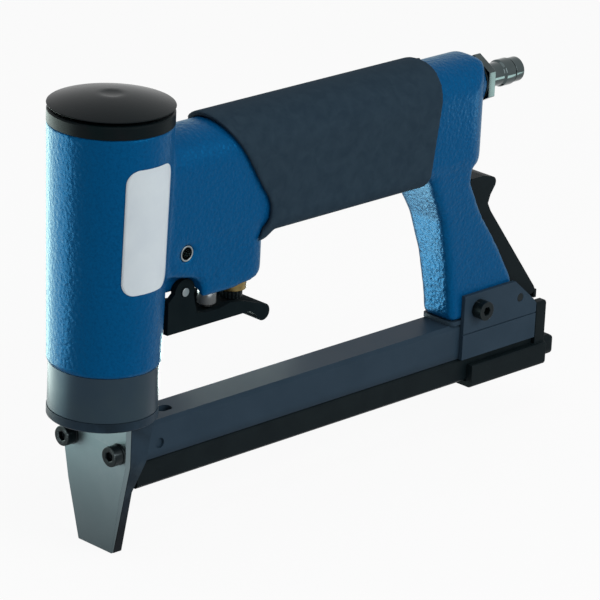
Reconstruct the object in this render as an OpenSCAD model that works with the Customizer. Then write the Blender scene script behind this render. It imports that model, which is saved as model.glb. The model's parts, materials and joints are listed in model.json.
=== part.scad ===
// Pneumatic upholstery stapler for fine wire staples
// Origin: staple exit on the drive axis, at the level of the nose foot
// +X runs to the rear along the magazine, +Z runs up the barrel, Y is the width

/* [Barrel] */
// Height from the nose foot to the underside of the flange
nose_h = 46.1; // [44:0.1:50]
// Thickness of the nose flange
flange_t = 3.2; // [3:0.1:4.5]
// Radius of the nose flange
flange_r = 18; // [17.8:0.1:19.5]
// Height of the collar that holds the bumper
collar_h = 15.2; // [13:0.1:20]
// Radius of the collar
collar_r = 17.8; // [17.6:0.1:18.2]
// Height of the blue barrel
barrel_h = 79.7; // [76:0.1:90]
// Radius of the barrel at its foot
barrel_foot_r = 18.4; // [18:0.05:19.2]
// Radius of the barrel at its top
barrel_top_r = 20.25; // [20:0.05:22]
// Radius of the air space in the barrel
barrel_bore_r = 15; // [14.8:0.05:15.4]

/* [Cap] */
// Height of the band at the foot of the cap
cap_band_h = 4.4; // [3.6:0.1:6]
// Height of the exhaust groove under the dome
cap_groove_h = 1.2; // [0.8:0.1:2]
// Height of the dome's upright rim
dome_rim_h = 0.3; // [0.3:0.1:1.5]
// Rise of the dome above its rim
dome_rise = 3.3; // [2:0.1:5]
// Radius of the shallow dimple in the dome
dimple_r = 5.2; // [3:0.1:7]
// Share of the room above the bumper that the cap's spigot takes
spigot_share = 0.1826; // [0.15:0.0001:0.2]

/* [Drive] */
// Radius of the liner's bore
liner_bore_r = 12; // [11.6:0.05:12.2]
// Wall of the liner
liner_t = 1.3; // [1:0.05:1.5]
// Height of the bumper
bumper_h = 9.5; // [7.5:0.1:11]
// Share of the room above the bumper that the piston takes
piston_share = 0.274; // [0.24:0.001:0.29]
// Width of the driver blade
blade_w = 9; // [8:0.1:9.2]
// Thickness of the driver blade
blade_t = 0.8; // [0.6:0.05:0.9]
// Share of the room above the bumper that the head valve takes
head_valve_share = 0.2626; // [0.24:0.0001:0.28]
// Lift of the head valve
head_valve_lift = 3; // [2:0.1:3.5]

/* [Handle] */
// Drop from the barrel's top to the handle's top
handle_drop = 7.1; // [6:0.1:12]
// Height of the handle
handle_h = 38.4; // [36:0.1:40]
// Width of the handle
handle_w = 24; // [23:0.1:26]
// Radius along the handle's upper edges
handle_top_r = 11.4; // [6:0.1:11.4]
// Radius along the handle's lower edges
handle_low_r = 4.6; // [3:0.1:8]
// Rear face of the handle
handle_end_x = 165.6; // [163:0.1:172]
// Radius of the handle's rear corners, seen from above
handle_end_r = 10.5; // [5:0.1:11]
// Thickness of the grip sleeve
grip_t = 1.9; // [1.2:0.1:3]
// Front edge of the sleeve at the top
grip_front_x = 40; // [36:0.1:46]
// Rear edge of the sleeve at the top
grip_rear_x = 139.5; // [130:0.1:142]
// Drop of the sleeve's lip behind the chin
grip_lip_drop = 0.9; // [0.5:0.1:3]
// Drop from the handle's underside to the chin's underside
chin_drop = 15.4; // [14.5:0.1:18]
// Width of the chin
chin_w = 23.6; // [22.5:0.1:24]
// Rear end of the chin
chin_end_x = 62; // [61.6:0.1:66]
// Radius of the chin's rear corners
chin_end_r = 9; // [6:0.1:11]
// Drop of the chin's side skirts beside the trigger
skirt_drop = 2.1; // [1:0.1:3]

/* [Trigger] */
// Distance of the trigger pivot from the barrel axis
trigger_x = 26.6; // [26:0.1:28]
// Distance of the trigger's rolled tip behind its pivot
trigger_l = 35.7; // [34:0.1:38]
// Outer width of the trigger
trigger_w = 17; // [16:0.1:18.5]
// Gauge of the trigger's sheet
trigger_t = 2; // [1.6:0.1:2.2]
// Drop from the pivot to the trigger's underside
trigger_drop = 13.4; // [12.8:0.1:15]
// Radius of the trigger pin
trigger_pin_r = 1.5; // [1.2:0.05:1.8]
// Radius of the steel plunger
plunger_r = 3.15; // [2.9:0.05:3.4]
// Distance of the plunger behind the trigger pivot
plunger_reach = 18; // [17:0.1:18.4]
// Distance of the valve behind the trigger pivot
valve_reach = 28.9; // [28.4:0.1:29.6]
// Radius of the brass valve body
valve_r = 5; // [4.9:0.05:5.3]

/* [Nose] */
// Half width of the nose at its foot
foot_half_w = 8; // [7:0.1:9]
// Half width of the nose above the taper
nose_half_w = 14.7; // [14.2:0.1:15.2]
// Drop from the flange to the top of the nose's taper
taper_drop = 14.1; // [13:0.1:18]
// Height of the crease in the front plate, as a share of the nose's height
crease_share = 0.445; // [0.35:0.005:0.55]
// Thickness of the front plate
plate_t = 2.2; // [1.6:0.1:3]
// Thickness of the front plate at the foot
plate_foot_t = 0.9; // [0.7:0.1:1.5]
// Drop from the flange to the two nose screws
nose_screw_drop = 9.9; // [8.5:0.1:10.5]
// Distance of each nose screw from the middle
nose_screw_y = 11.3; // [10.9:0.1:11.4]
// Radius of the socket heads
screw_head_r = 3.4; // [2.8:0.1:3.5]
// Height of the nose screw heads
screw_head_h = 3.3; // [3:0.1:6]

/* [Magazine] */
// Drop from the flange to the magazine's top
cover_drop = 5.1; // [4.7:0.1:5.5]
// Height of the magazine, from the slide's underside to the cover's top
magazine_h = 21.9; // [21.6:0.1:22.4]
// Height of the slide's walls
slide_h = 8.8; // [8.4:0.1:9]
// Half width of the magazine cover
cover_half_w = 7.14; // [7.05:0.01:7.3]
// Half width of the staple channel
channel_half_w = 4.75; // [4.7:0.05:4.8]
// Thickness of the magazine's roof
roof_t = 2.2; // [1.6:0.1:2.4]
// Rear end of the magazine cover
cover_end_x = 197; // [193:0.1:202]
// Front end of the slide's walls
slide_front_x = 9.7; // [9:0.1:14]
// Length of the slide's end block
end_block_l = 38; // [32:0.1:44]
// Half width of the slide's end block
end_block_half_w = 10; // [9:0.1:11.5]
// Thickness of the slide's upright
upright_t = 5; // [4.6:0.1:6.5]
// Length of the pusher
pusher_l = 14; // [10:0.1:20]

/* [Rear bracket and latch] */
// Front edge of the bracket's side plates
bracket_x = 160; // [159:0.1:161]
// Top of the bracket above the magazine
bracket_rise = 10.6; // [9.8:0.1:12]
// Gauge of the bracket's sheet
bracket_t = 1.5; // [1.2:0.1:1.8]
// Distance of the latch pivot ahead of the magazine's rear end
latch_back = 8.5; // [8.2:0.1:8.8]
// Half width of the latch lever
lever_half_w = 4.9; // [4:0.1:5.1]
// Radius of the latch pin
latch_pin_r = 1.5; // [1.2:0.05:1.7]

/* [Air plug] */
// Width of the hexagon across its flats
plug_hex_af = 15.5; // [14:0.1:17]
// Radius of the plug's locking collar
plug_collar_r = 4.7; // [4.4:0.05:5.2]
// Length of the plug behind the hexagon
plug_l = 19; // [18:0.1:24]
// Drop from the handle's top to the plug's axis
plug_drop = 10.8; // [10:0.1:12]

/* [Hidden] */
$fn = 64;

// Clearances
fit = 0.05;          // pieces that seat in one another
run = 0.1;           // round pieces that slide or turn
slip = 0.15;         // flat pieces that slide
eps = 0.02;          // overlap of shapes inside one solid

// Heights up the nose and the barrel
cover_top_z = nose_h - cover_drop;
slide_z = cover_top_z - magazine_h;
nose_taper_z = nose_h - taper_drop;
nose_screw_z = nose_h - nose_screw_drop;
crease_z = crease_share * nose_h;
collar_z = nose_h + flange_t;
barrel_z = collar_z + collar_h;
barrel_top = barrel_z + barrel_h;
groove_z = barrel_top + cap_band_h;
dome_z = groove_z + cap_groove_h;
handle_top = barrel_top - handle_drop;
handle_z = handle_top - handle_h;
handle_mid = (handle_top + handle_z) / 2;
chin_z = handle_z - chin_drop;

// Liner, bumper and piston
liner_r = liner_bore_r + liner_t;
liner_seat = 6;                      // depth of the liner in the collar
liner_z = barrel_z - liner_seat;
neck_h = 8;                          // guide for the liner at the barrel's foot
collar_floor_t = 2.2;
bumper_z = collar_z + collar_floor_t;
bumper_top = bumper_z + bumper_h;
blade_hole_r = blade_w / 2 + 0.7;
roof_z = cover_top_z - roof_t;
blade_rest_z = roof_z + 0.5;         // blade waits above the staple strip
blade_end_z = 0.3;                   // blade stops just inside the foot
stroke = blade_rest_z - blade_end_z;
stop_gap = 0.4;
piston_z = bumper_top + stop_gap + stroke;
drive_room = barrel_top - piston_z;  // height left for piston, head valve, spring and spigot
piston_h = piston_share * drive_room;
piston_top = piston_z + piston_h;
piston_r = liner_bore_r - run;
liner_top = piston_top + 1.6;
seal_r = 0.45;                       // cross section of the liner's seals

// Head valve and cap
valve_seat_gap = 0.3;
head_valve_h = head_valve_share * drive_room;
spigot_h = spigot_share * drive_room;
head_z = liner_top + valve_seat_gap;
head_r = barrel_bore_r - run;
head_top = head_z + head_valve_h;
spigot_z = barrel_top - spigot_h;
exhaust_r = 6.5;                     // outside of the head valve's tube
exhaust_bore_r = 4.5;
head_seal_z = [head_z + 0.35 * head_valve_h, head_z + 0.7 * head_valve_h];
tube_top = spigot_z + 1 + head_valve_lift;
cap_r = barrel_top_r + 0.05;
stub_r = 14.5;
cap_screw_r = 1.25;
cap_screw_head_r = 2;
cap_screw_pcr = (barrel_bore_r + barrel_top_r) / 2 - 0.4;
cap_peg_r = 1.2;
cap_peg_pcr = 11;
dome_r = barrel_top_r + 0.15;
dimple_depth = 0.5;

// Trigger and its valve
pivot_z = chin_z + 0.4;
web_z = pivot_z - trigger_drop + trigger_t;
lug_half_w = trigger_w / 2 - trigger_t - 0.3;
ear_r = 4.3;
ear_pocket_r = 5;
skirt_gap = 0.6;                     // trigger's sides to the skirts
plunger_x = trigger_x + plunger_reach;
valve_x = trigger_x + valve_reach;
rest_gap = 0.25;                     // trigger's web to the pieces that it lifts
plunger_bore_h = 13.7;
plunger_h = 17.4;
plunger_cup_r = plunger_r - 0.95;
knob_r = valve_r - 1.2;
knob_h = 3;
knob_z = web_z + 1;
valve_z = knob_z + knob_h + 0.2;
valve_skirt_h = 4;                   // skirt that the knob rises into
valve_seat_z = valve_z + valve_skirt_h;
valve_top = chin_z + 16.7;
chamber_r = valve_r - 1.8;
stem_r = 1.5;
stem_head_z = chin_z + 8.7;
stem_head_h = 2;
valve_roof = valve_top + 1;

// Handle chamber and plug
chamber_z = handle_mid + 1.75;
air_r = 9.5;
plug_z = handle_top - plug_drop;
plug_thread_r = 6.5;
plug_thread_l = 13;
plug_boss_r = plug_thread_r + 1.7;
plug_bore_r = 2.8;
hex_t = 3.2;
washer_t = 0.8;
plug_x = handle_end_x + washer_t;
neck_r = plug_collar_r - 0.6;
tip_r = plug_collar_r - 0.4;
collar_l = 4.4;
tip_l = 4.4;
plug_groove_l = 0.8;

// Cross pin
cross_x = trigger_x - 2.7;
cross_z = handle_z - 0.5;
cross_r = 2.7;
cross_bore_r = 2.1;

// Nose
joint_x = -0.5;                      // split between front plate and nose body
plate_gap = 0.05;
plate_x = joint_x - plate_gap - plate_t;
blade_slot_half_w = blade_w / 2 + 0.2;
web_x = 2.2;                          // rear of the wall behind the driver slot
nose_rear_x = 9;
pocket_half_w = slide_half_w() + slip;
screw_r = 2;
washer_h = 0.9;
washer_r = screw_head_r + 0.15;
flange_screw_r = 1.25;
flange_screw_head_r = 1.85;
flange_screw_head_h = 1.9;
flange_screw_pcr = (liner_r + barrel_foot_r) / 2 - 0.2;
flange_screw_angle = 36;
flange_screw_l = 7;                  // thread in the barrel's foot

// Magazine
cover_x = web_x + 0.2;
lip_z = slide_z + 4.8;
lip_h = 1.9;
lip_half_w = 6.2;
neck_half_w = 5.5;
slide_wall = 0.95;
slide_floor = 1.9;
function slide_half_w() = 7.3;
hook_z = lip_z + lip_h + 0.25;
slide_top = slide_z + slide_h;
core_half_w = 3.6;
core_wall = 1.2;
core_top = roof_z - 1.7;
core_x = joint_x + 1.5;
core_z = slide_z + slide_floor - 0.3;
rod_z = slide_z + 11;
rod_r = 1;
pusher_x = core_x + 0.2;
pusher_top = roof_z - 0.2;
slide_end_x = cover_end_x + 0.4;
rod_stop_l = 6;
block_x = cover_end_x + 0.4 + upright_t - end_block_l;
block_floor = 2.05;
block_z = slide_z - block_floor;
block_top = slide_z + 6.4;
upright_x = cover_end_x + 0.5;
upright_end = upright_x + upright_t;
upright_top = cover_top_z - 0.2;
upright_half_w = 8.8;
catch_lip = 1.7;                     // lip that the latch tooth hooks behind
rod_stop_x = block_x - rod_stop_l;

// Rear bracket
plate_in = cover_half_w + 0.16;
plate_out = plate_in + bracket_t;
bracket_z = slide_top + 0.3;
bracket_top = cover_top_z + bracket_rise;
bracket_end = cover_end_x + 0.2;
foot_z = cover_top_z + fit + bracket_t + fit;
seam_z = cover_top_z - 3.7;
bracket_screw_x = bracket_x + 7.1;
bracket_screw_z = cover_top_z + 4.9;
nut_af = 7;
nut_h = 3.2;

// Post from the handle down to the magazine: share of the height, front, rear, half width
post_top = handle_z + 4.3;
post_rows = [
    [1.00, bracket_x - 24.5, bracket_x - 2.4, handle_w / 2 - 0.3],
    [0.85, bracket_x - 20.0, bracket_x - 1.8, handle_w / 2 - 1.5],
    [0.64, bracket_x - 13.2, bracket_x + 5.6, handle_w / 2 - 3.0],
    [0.39, bracket_x - 8.7, bracket_x + 17.0, plate_in + 0.5],
    [0.16, bracket_x - 6.0, bracket_x + 25.5, plate_in - fit],
    [0.00, bracket_x - 4.6, bracket_x + 25.5, plate_in - fit]];
post_front_r = 2;
post_rear_r = 1;

// Latch lever
latch_x = cover_end_x - latch_back;
latch_z = cover_top_z + 4;
lever_slot_half_w = lever_half_w + 0.4;
lever_len = post_top - latch_z;
boss_r = 3.5;
toe_z = cover_top_z + 1.9;
tooth_z = upright_top + 0.35;
tooth_x = upright_x + catch_lip + 0.7;
tooth_l = 1.3;
latch_spring_z = latch_z + 27;
latch_spring_r = 2.2;
latch_spring_bore = 2.7;
latch_spring_x = latch_x - 26;       // floor of the spring's bore in the post
latch_spring_l = 12.6;

// Colours
blue = "#0d5a86";
rubber_grey = "#30383f";
black = "#15171a";
dark_steel = "#33383d";
steel = "#b4b9bc";
brass = "#b08a3c";
amber = "#8a6a3a";

// Cylinder along X, Y or Z between two places
module along_x(r, x0, x1, y = 0, z = 0) {
    translate([x0, y, z]) rotate([0, 90, 0]) cylinder(r = r, h = x1 - x0);
}
module along_y(r, y0, y1, x = 0, z = 0) {
    translate([x, y1, z]) rotate([90, 0, 0]) cylinder(r = r, h = y1 - y0);
}
module along_z(r, z0, z1, x = 0, y = 0) {
    translate([x, y, z0]) cylinder(r = r, h = z1 - z0);
}
// Outline drawn in X and Z, given a width about the middle
module side_slab(half_w) {
    rotate([90, 0, 0]) linear_extrude(2 * half_w, center = true) children();
}
// Outline drawn in Y and Z, run along X
module run_x(x0, x1) {
    translate([x0, 0, 0]) rotate([90, 0, 90]) linear_extrude(x1 - x0) children();
}
// Solid of revolution about Z from an outline of radius and height
module turned(points) {
    rotate_extrude() polygon(points);
}
// Solid of revolution about an axis along X
module turned_x(points, z) {
    translate([0, 0, z]) rotate([0, 90, 0]) rotate_extrude() polygon(points);
}
// Ring of round section about Z
module seal_ring(mid_r, section_r, z) {
    translate([0, 0, z]) rotate_extrude() translate([mid_r, 0]) circle(section_r);
}
// Rectangle with a radius at each corner: low left, low right, high right, high left
module soft_rect(x0, x1, y0, y1, radii) {
    corners = [[x0, y0, 1, 1], [x1, y0, -1, 1], [x1, y1, -1, -1], [x0, y1, 1, -1]];
    difference() {
        translate([x0, y0]) square([x1 - x0, y1 - y0]);
        for (i = [0:3]) if (radii[i] > 0) corner_cut(corners[i], radii[i]);
    }
}
// Sliver outside a corner's arc
module corner_cut(corner, r) {
    translate([corner[0], corner[1]]) scale([corner[2], corner[3]]) difference() {
        translate([-1, -1]) square(r + 1);
        translate([r, r]) circle(r);
    }
}
// Outline of a section from the points of its right half
function mirrored(half) = [each half, for (i = [len(half) - 1:-1:0]) [-half[i][0], half[i][1]]];
// Both sides of the middle plane
module both_sides() {
    for (side = [1, -1]) scale([1, side, 1]) children();
}
// Cap screw pointing along +Z, its head's top at the origin, with a hexagon socket
module cap_screw(head_r, head_h, shank_r, shank_l) {
    difference() {
        union() {
            translate([0, 0, -head_h]) cylinder(r = head_r, h = head_h);
            translate([0, 0, -head_h - shank_l]) cylinder(r = shank_r, h = shank_l + eps);
        }
        translate([0, 0, -head_h * 0.55]) cylinder(r = head_r * 0.5, h = head_h, $fn = 6);
    }
}

// Helical wire along Z: points of the centre line, then a tube of six sides around it
coil_rings = 8;
coil_sides = 6;
function coil_point(r, h, turns, i) =
    let (a = 360 * i / coil_rings)
    [r * cos(a), r * sin(a), h * i / (turns * coil_rings)];
function coil_gap(r, h, turns, wire_r) =
    let (n = coil_rings)
    min([for (i = [0:(turns - 1) * n]) for (j = [n - 1, n, n + 1])
        if (i + j <= turns * n)
            norm(coil_point(r, h, turns, i) - coil_point(r, h, turns, i + j))]) - 2 * wire_r;
module coil(r, wire_r, length, turns) {
    h = length - 2 * wire_r;
    n = turns * coil_rings;
    echo(coil_gap = coil_gap(r, h, turns, wire_r));
    points = [for (i = [0:n]) for (j = [0:coil_sides - 1])
        let (a = 360 * i / coil_rings, b = 360 * j / coil_sides, p = coil_point(r, h, turns, i))
        [p[0] + wire_r * cos(b) * cos(a), p[1] + wire_r * cos(b) * sin(a), p[2] + wire_r * sin(b)]];
    walls = [for (i = [0:n - 1]) for (j = [0:coil_sides - 1]) for (half = [0, 1])
        let (a = i * coil_sides + j, b = i * coil_sides + (j + 1) % coil_sides)
        half == 0 ? [a, b, b + coil_sides] : [a, b + coil_sides, a + coil_sides]];
    low_end = [for (j = [1:coil_sides - 2]) [0, j + 1, j]];
    last = n * coil_sides;
    high_end = [for (j = [1:coil_sides - 2]) [last, last + j, last + j + 1]];
    translate([0, 0, wire_r]) polyhedron(points, [each walls, each low_end, each high_end]);
}

// Shapes of the housing
barrel_edge = 1;
module barrel_shape() {
    turned([[0, barrel_z], [collar_r, barrel_z], [barrel_foot_r, barrel_z + barrel_edge],
        [barrel_top_r, barrel_top], [0, barrel_top]]);
}
// Section of the handle in Y and Z, grown all round
module handle_section(grow) {
    half = handle_w / 2 + grow;
    low_r = handle_low_r + grow;
    top_r = handle_top_r + grow;
    soft_rect(-half, half, handle_z - grow, handle_top + grow, [low_r, low_r, top_r, top_r]);
}
module handle_shape() {
    intersection() {
        run_x(0, handle_end_x) handle_section(0);
        translate([0, 0, handle_z - 1]) linear_extrude(handle_h + 2)
            soft_rect(-1, handle_end_x, -handle_w / 2, handle_w / 2, [0, handle_end_r, handle_end_r, 0]);
        side_slab(handle_w)
            soft_rect(-1, handle_end_x, handle_z, handle_top, [0, handle_end_r, handle_top_r / 2, 0]);
    }
    along_x(plug_boss_r, handle_end_x - handle_end_r, handle_end_x, 0, plug_z);
}
// Plan of the chin, grown all round
module chin_plan(grow) {
    half = chin_w / 2 + grow;
    soft_rect(0, chin_end_x + grow, -half, half, [0, chin_end_r, chin_end_r, 0]);
}
module chin_shape() {
    difference() {
        union() {
            translate([0, 0, chin_z]) linear_extrude(handle_mid - chin_z) chin_plan(0);
            chin_skirts();
        }
        both_sides() ear_pocket();
    }
}
// Side walls that reach down beside the trigger
module chin_skirts() {
    inner = trigger_w / 2 + skirt_gap;
    intersection() {
        translate([0, 0, chin_z - skirt_drop]) linear_extrude(skirt_drop + eps) chin_plan(0);
        both_sides() translate([0, chin_w, 0]) rotate([90, 0, 0]) linear_extrude(chin_w - inner)
            polygon([[trigger_x, chin_z + 1], [trigger_x, chin_z - skirt_drop],
                [plunger_x, chin_z - skirt_drop], [valve_x - 2, chin_z - skirt_drop / 2],
                [chin_end_x, chin_z + 1]]);
    }
}
// Recess in the chin's side for the trigger's ear
module ear_pocket() {
    depth = chin_w - lug_half_w;
    low = chin_z - skirt_drop - 1;
    along_y(ear_pocket_r, lug_half_w, lug_half_w + depth, trigger_x, pivot_z);
    translate([0, lug_half_w + depth, 0]) rotate([90, 0, 0]) linear_extrude(depth)
        polygon([[0, low], [trigger_x + ear_pocket_r, low], [trigger_x + ear_pocket_r, pivot_z],
            [trigger_x + 1, pivot_z + ear_pocket_r], [trigger_x - 10, pivot_z + ear_pocket_r + 2.4],
            [0, pivot_z + ear_pocket_r + 2.4]]);
}
module post_slice(row) {
    z = foot_z + row[0] * (post_top - foot_z);
    radii = [post_front_r, post_rear_r, post_rear_r, post_front_r];
    translate([0, 0, z]) linear_extrude(eps)
        soft_rect(row[1], row[2], -row[3], row[3], radii, $fn = 32);
}
module post_shape() {
    for (i = [0:len(post_rows) - 2]) hull() {
        post_slice(post_rows[i]);
        post_slice(post_rows[i + 1]);
    }
}
// Rear groove of the post, in which the latch lever moves
module lever_groove() {
    low = foot_z - 1;
    rows = [[latch_x - 8, low], [latch_x - 8.5, latch_z + 5], [latch_x - 18.5, latch_z + 0.36 * lever_len],
        [latch_x - 30, latch_z + 0.72 * lever_len], [latch_x - 32, latch_z + 0.8 * lever_len],
        [latch_x - 31, latch_z + 0.87 * lever_len], [latch_x, latch_z + 0.87 * lever_len], [latch_x, low]];
    side_slab(lever_slot_half_w) polygon(rows);
}
module housing() {
    color(blue) difference() {
        union() {
            barrel_shape();
            handle_shape();
            chin_shape();
            difference() {
                post_shape();
                lever_groove();
            }
        }
        barrel_bores();
        handle_bores();
        trigger_bores();
        post_bores();
    }
}
module barrel_bores() {
    along_z(liner_r + run, barrel_z - 1, barrel_z + neck_h + eps);
    along_z(barrel_bore_r, barrel_z + neck_h, barrel_top + 1);
    seal_groove(liner_r + run, barrel_z + neck_h / 2);
    for (a = [0:90:270]) rotate(a)
        along_z(cap_screw_r, barrel_top - 7, barrel_top + 1, cap_screw_pcr);
    flange_screw_places()
        along_z(flange_screw_r, barrel_z - 1, barrel_z + flange_screw_l + 0.5);
}
// Groove in a bore for a small seal
module seal_groove(r, z) {
    groove_h = 2 * seal_r + 0.4;
    translate([0, 0, z - groove_h / 2]) cylinder(r = r + 2 * seal_r, h = groove_h);
}
module handle_bores() {
    along_x(air_r, barrel_bore_r - 3, handle_end_x - plug_thread_l, 0, chamber_z);
    along_x(plug_thread_r + fit, handle_end_x - plug_thread_l - 4, handle_end_x + 1, 0, plug_z);
    along_y(cross_r + fit, -handle_w, handle_w, cross_x, cross_z);
}
module trigger_bores() {
    along_y(trigger_pin_r + fit, -chin_w, chin_w, trigger_x, pivot_z);
    along_z(plunger_r + run, chin_z - 1, chin_z + plunger_bore_h, plunger_x);
    along_z(valve_r + fit, chin_z - 1, valve_roof, valve_x);
    along_z(stem_r, valve_roof - 1, chamber_z, valve_x);
}
module post_bores() {
    along_y(screw_r + run, -handle_w, handle_w, bracket_screw_x, bracket_screw_z);
    along_x(latch_spring_bore, latch_spring_x, latch_spring_x + 14, 0, latch_spring_z);
}

// Rubber sleeve with a slanted front edge and a leaning rear edge
module grip_outline() {
    low = handle_z - grip_t - grip_lip_drop;
    high = handle_top + grip_t;
    curl_r = 11;
    curl_h = 9.2;
    slant_x = grip_front_x + 19.4;
    lean = 6.2;
    difference() {
        polygon([[grip_front_x, high], [slant_x, low + grip_lip_drop + 11], [slant_x, low + curl_h],
            [slant_x - curl_r / 2, low], [grip_rear_x - lean, low], [grip_rear_x, high]]);
        translate([slant_x - curl_r, low + curl_h]) circle(curl_r);
    }
}
// Lip of the sleeve that runs down round the chin's rear
module grip_lip() {
    low = handle_z - grip_t;
    hull() {
        translate([0, 0, low - grip_lip_drop]) linear_extrude(eps) chin_plan(1.1);
        translate([0, 0, low + 1.5]) linear_extrude(eps)
            soft_rect(0, chin_end_x + 6.5, -chin_w / 2 - 0.5, chin_w / 2 + 0.5,
                [0, chin_end_r, chin_end_r, 0]);
    }
}
module grip_sleeve() {
    color(rubber_grey) difference() {
        intersection() {
            union() {
                run_x(0, handle_end_x) handle_section(grip_t);
                grip_lip();
            }
            side_slab(handle_w) grip_outline();
        }
        run_x(-1, handle_end_x + 1) handle_section(fit);
        translate([0, 0, chin_z]) linear_extrude(handle_mid - chin_z) chin_plan(fit);
    }
}

// Cap: band with a spigot, vented stub and domed cover
module cap_base() {
    color(black) difference() {
        union() {
            turned([[0, barrel_top + fit], [cap_r, barrel_top + fit], [cap_r, groove_z - 0.5],
                [cap_r - 0.5, groove_z], [0, groove_z]]);
            along_z(barrel_bore_r - fit, spigot_z, barrel_top + 1);
            along_z(stub_r, groove_z - eps, dome_z);
        }
        along_z(exhaust_r + run, spigot_z - 1, dome_z + 1);
        for (a = [0:90:270]) rotate(a)
            translate([0, -3, groove_z]) cube([stub_r + 1, 6, cap_groove_h + 1]);
        for (a = [0:90:270]) rotate(a) {
            along_z(cap_screw_r + fit, barrel_top - 1, groove_z, cap_screw_pcr);
            along_z(cap_screw_head_r + fit, groove_z - 2.5, dome_z, cap_screw_pcr);
            rotate(45) along_z(cap_peg_r + fit, dome_z - 3, dome_z + 1, cap_peg_pcr);
        }
        translate([0, 0, spigot_z + 2]) difference() {
            cylinder(r = barrel_bore_r + 1, h = 2.2);
            translate([0, 0, -1]) cylinder(r = barrel_bore_r - 1.7, h = 5);
        }
    }
}
module cap_seal() {
    color(black) seal_ring(barrel_bore_r - 0.85, 0.75, spigot_z + 3.1);
}
module cap_dome() {
    crown_z = dome_z + fit + dome_rim_h + dome_rise;
    ball_r = (pow(dome_r, 2) + pow(dome_rise, 2)) / (2 * dome_rise);
    dip_r = (pow(dimple_r, 2) + pow(dimple_depth, 2)) / (2 * dimple_depth);
    color(black) {
        rotate_extrude() difference() {
            intersection() {
                translate([0, dome_z + fit]) square([dome_r, dome_rim_h + dome_rise]);
                translate([0, crown_z - ball_r]) circle(ball_r, $fn = 720);
            }
            translate([0, crown_z - dimple_depth + dip_r]) circle(dip_r, $fn = 360);
        }
        for (a = [45:90:315]) rotate(a)
            along_z(cap_peg_r, dome_z - 2.5, dome_z + 0.5, cap_peg_pcr);
    }
}
module cap_screws() {
    color(dark_steel) for (a = [0:90:270]) rotate(a)
        translate([cap_screw_pcr, 0, groove_z - 0.1])
            cap_screw(cap_screw_head_r, 2.2, cap_screw_r - fit, cap_band_h + 4);
}

// Head valve: cup with an exhaust tube that slides in the cap's spigot
module head_valve() {
    color("#d9d6cc") difference() {
        union() {
            along_z(head_r, head_z, head_top);
            along_z(exhaust_r, head_top - 1, tube_top);
        }
        along_z(exhaust_bore_r, head_z - 1, tube_top + 1);
        along_z(liner_r + 0.4, head_z - 1, head_z + 1.6);
        for (z = head_seal_z) translate([0, 0, z - 1]) difference() {
            cylinder(r = head_r + 1, h = 2);
            translate([0, 0, -1]) cylinder(r = head_r - 1.4, h = 4);
        }
    }
}
module head_valve_seal() {
    color(rubber_grey) {
        difference() {
            along_z(liner_r + 0.3, head_z + 0.1, head_z + 1.55);
            along_z(liner_bore_r - 2, head_z - 1, head_z + 2);
        }
        for (z = head_seal_z) seal_ring(head_r - 0.68, 0.65, z);
    }
}
module head_valve_spring() {
    room = spigot_z - head_top - 0.2;
    color(steel) translate([0, 0, head_top + 0.1])
        coil((exhaust_r + barrel_bore_r) / 2, 0.069 * room, room, 4);
}

// Liner, seals, bumper and collar
module cylinder_liner() {
    color(steel) difference() {
        along_z(liner_r, liner_z + fit, liner_top);
        along_z(liner_bore_r, liner_z - 1, liner_top + 1);
    }
}
module liner_seals() {
    color(black) for (z = [barrel_z + neck_h / 2, liner_z + liner_seat / 2])
        seal_ring(liner_r + run + seal_r, seal_r - 0.02, z);
}
module bumper() {
    r = liner_bore_r - 0.3;
    color(amber) turned([[blade_hole_r + 0.2, bumper_z + fit], [r, bumper_z + fit], [r, bumper_top - 2],
        [r - 2, bumper_top], [blade_hole_r + 1.5, bumper_top], [blade_hole_r + 0.2, bumper_top - 2]]);
}
module barrel_collar() {
    color(dark_steel) difference() {
        along_z(collar_r, collar_z, barrel_z);
        along_z(blade_hole_r, collar_z - 1, barrel_z);
        along_z(liner_bore_r - 0.2, bumper_z, barrel_z);
        along_z(liner_r + run, liner_z, barrel_z + 1);
        seal_groove(liner_r + run, liner_z + liner_seat / 2);
        flange_screw_places() along_z(flange_screw_r + fit, collar_z - 1, barrel_z + 1);
    }
}

// Piston with its ring, blade and pin
ring_h = 3;
ring_z = piston_top - 5;
ring_depth = 1.6;
driver_pin_r = 1.25;
driver_pin_z = piston_z + 3.4;
blade_top = piston_z + 6;
module piston() {
    color("#c9c2b0") difference() {
        turned([[0, piston_z], [piston_r - 1.5, piston_z], [piston_r, piston_z + 1.5],
            [piston_r, piston_top - 1], [piston_r - 1, piston_top], [0, piston_top]]);
        difference() {
            along_z(piston_r + 1, ring_z, ring_z + ring_h);
            along_z(piston_r - ring_depth, ring_z - 1, ring_z + ring_h + 1);
        }
        translate([-blade_t / 2 - fit, -blade_w / 2 - fit, piston_z - 1])
            cube([blade_t + 2 * fit, blade_w + 2 * fit, blade_top + 0.2 - piston_z + 1]);
        along_x(driver_pin_r + fit, -piston_r - 1, piston_r + 1, 0, driver_pin_z);
    }
}
module piston_ring() {
    color(black) difference() {
        along_z(liner_bore_r - 0.05, ring_z + fit, ring_z + ring_h - fit);
        along_z(piston_r - ring_depth + fit, ring_z - 1, ring_z + ring_h + 1);
    }
}
module driver_blade() {
    color(steel) difference() {
        translate([-blade_t / 2, -blade_w / 2, blade_rest_z])
            cube([blade_t, blade_w, blade_top - blade_rest_z]);
        along_x(driver_pin_r + fit, -1, 1, 0, driver_pin_z);
    }
}
module driver_pin() {
    color(steel) along_x(driver_pin_r, -piston_r + 3, piston_r - 3, 0, driver_pin_z);
}

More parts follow.
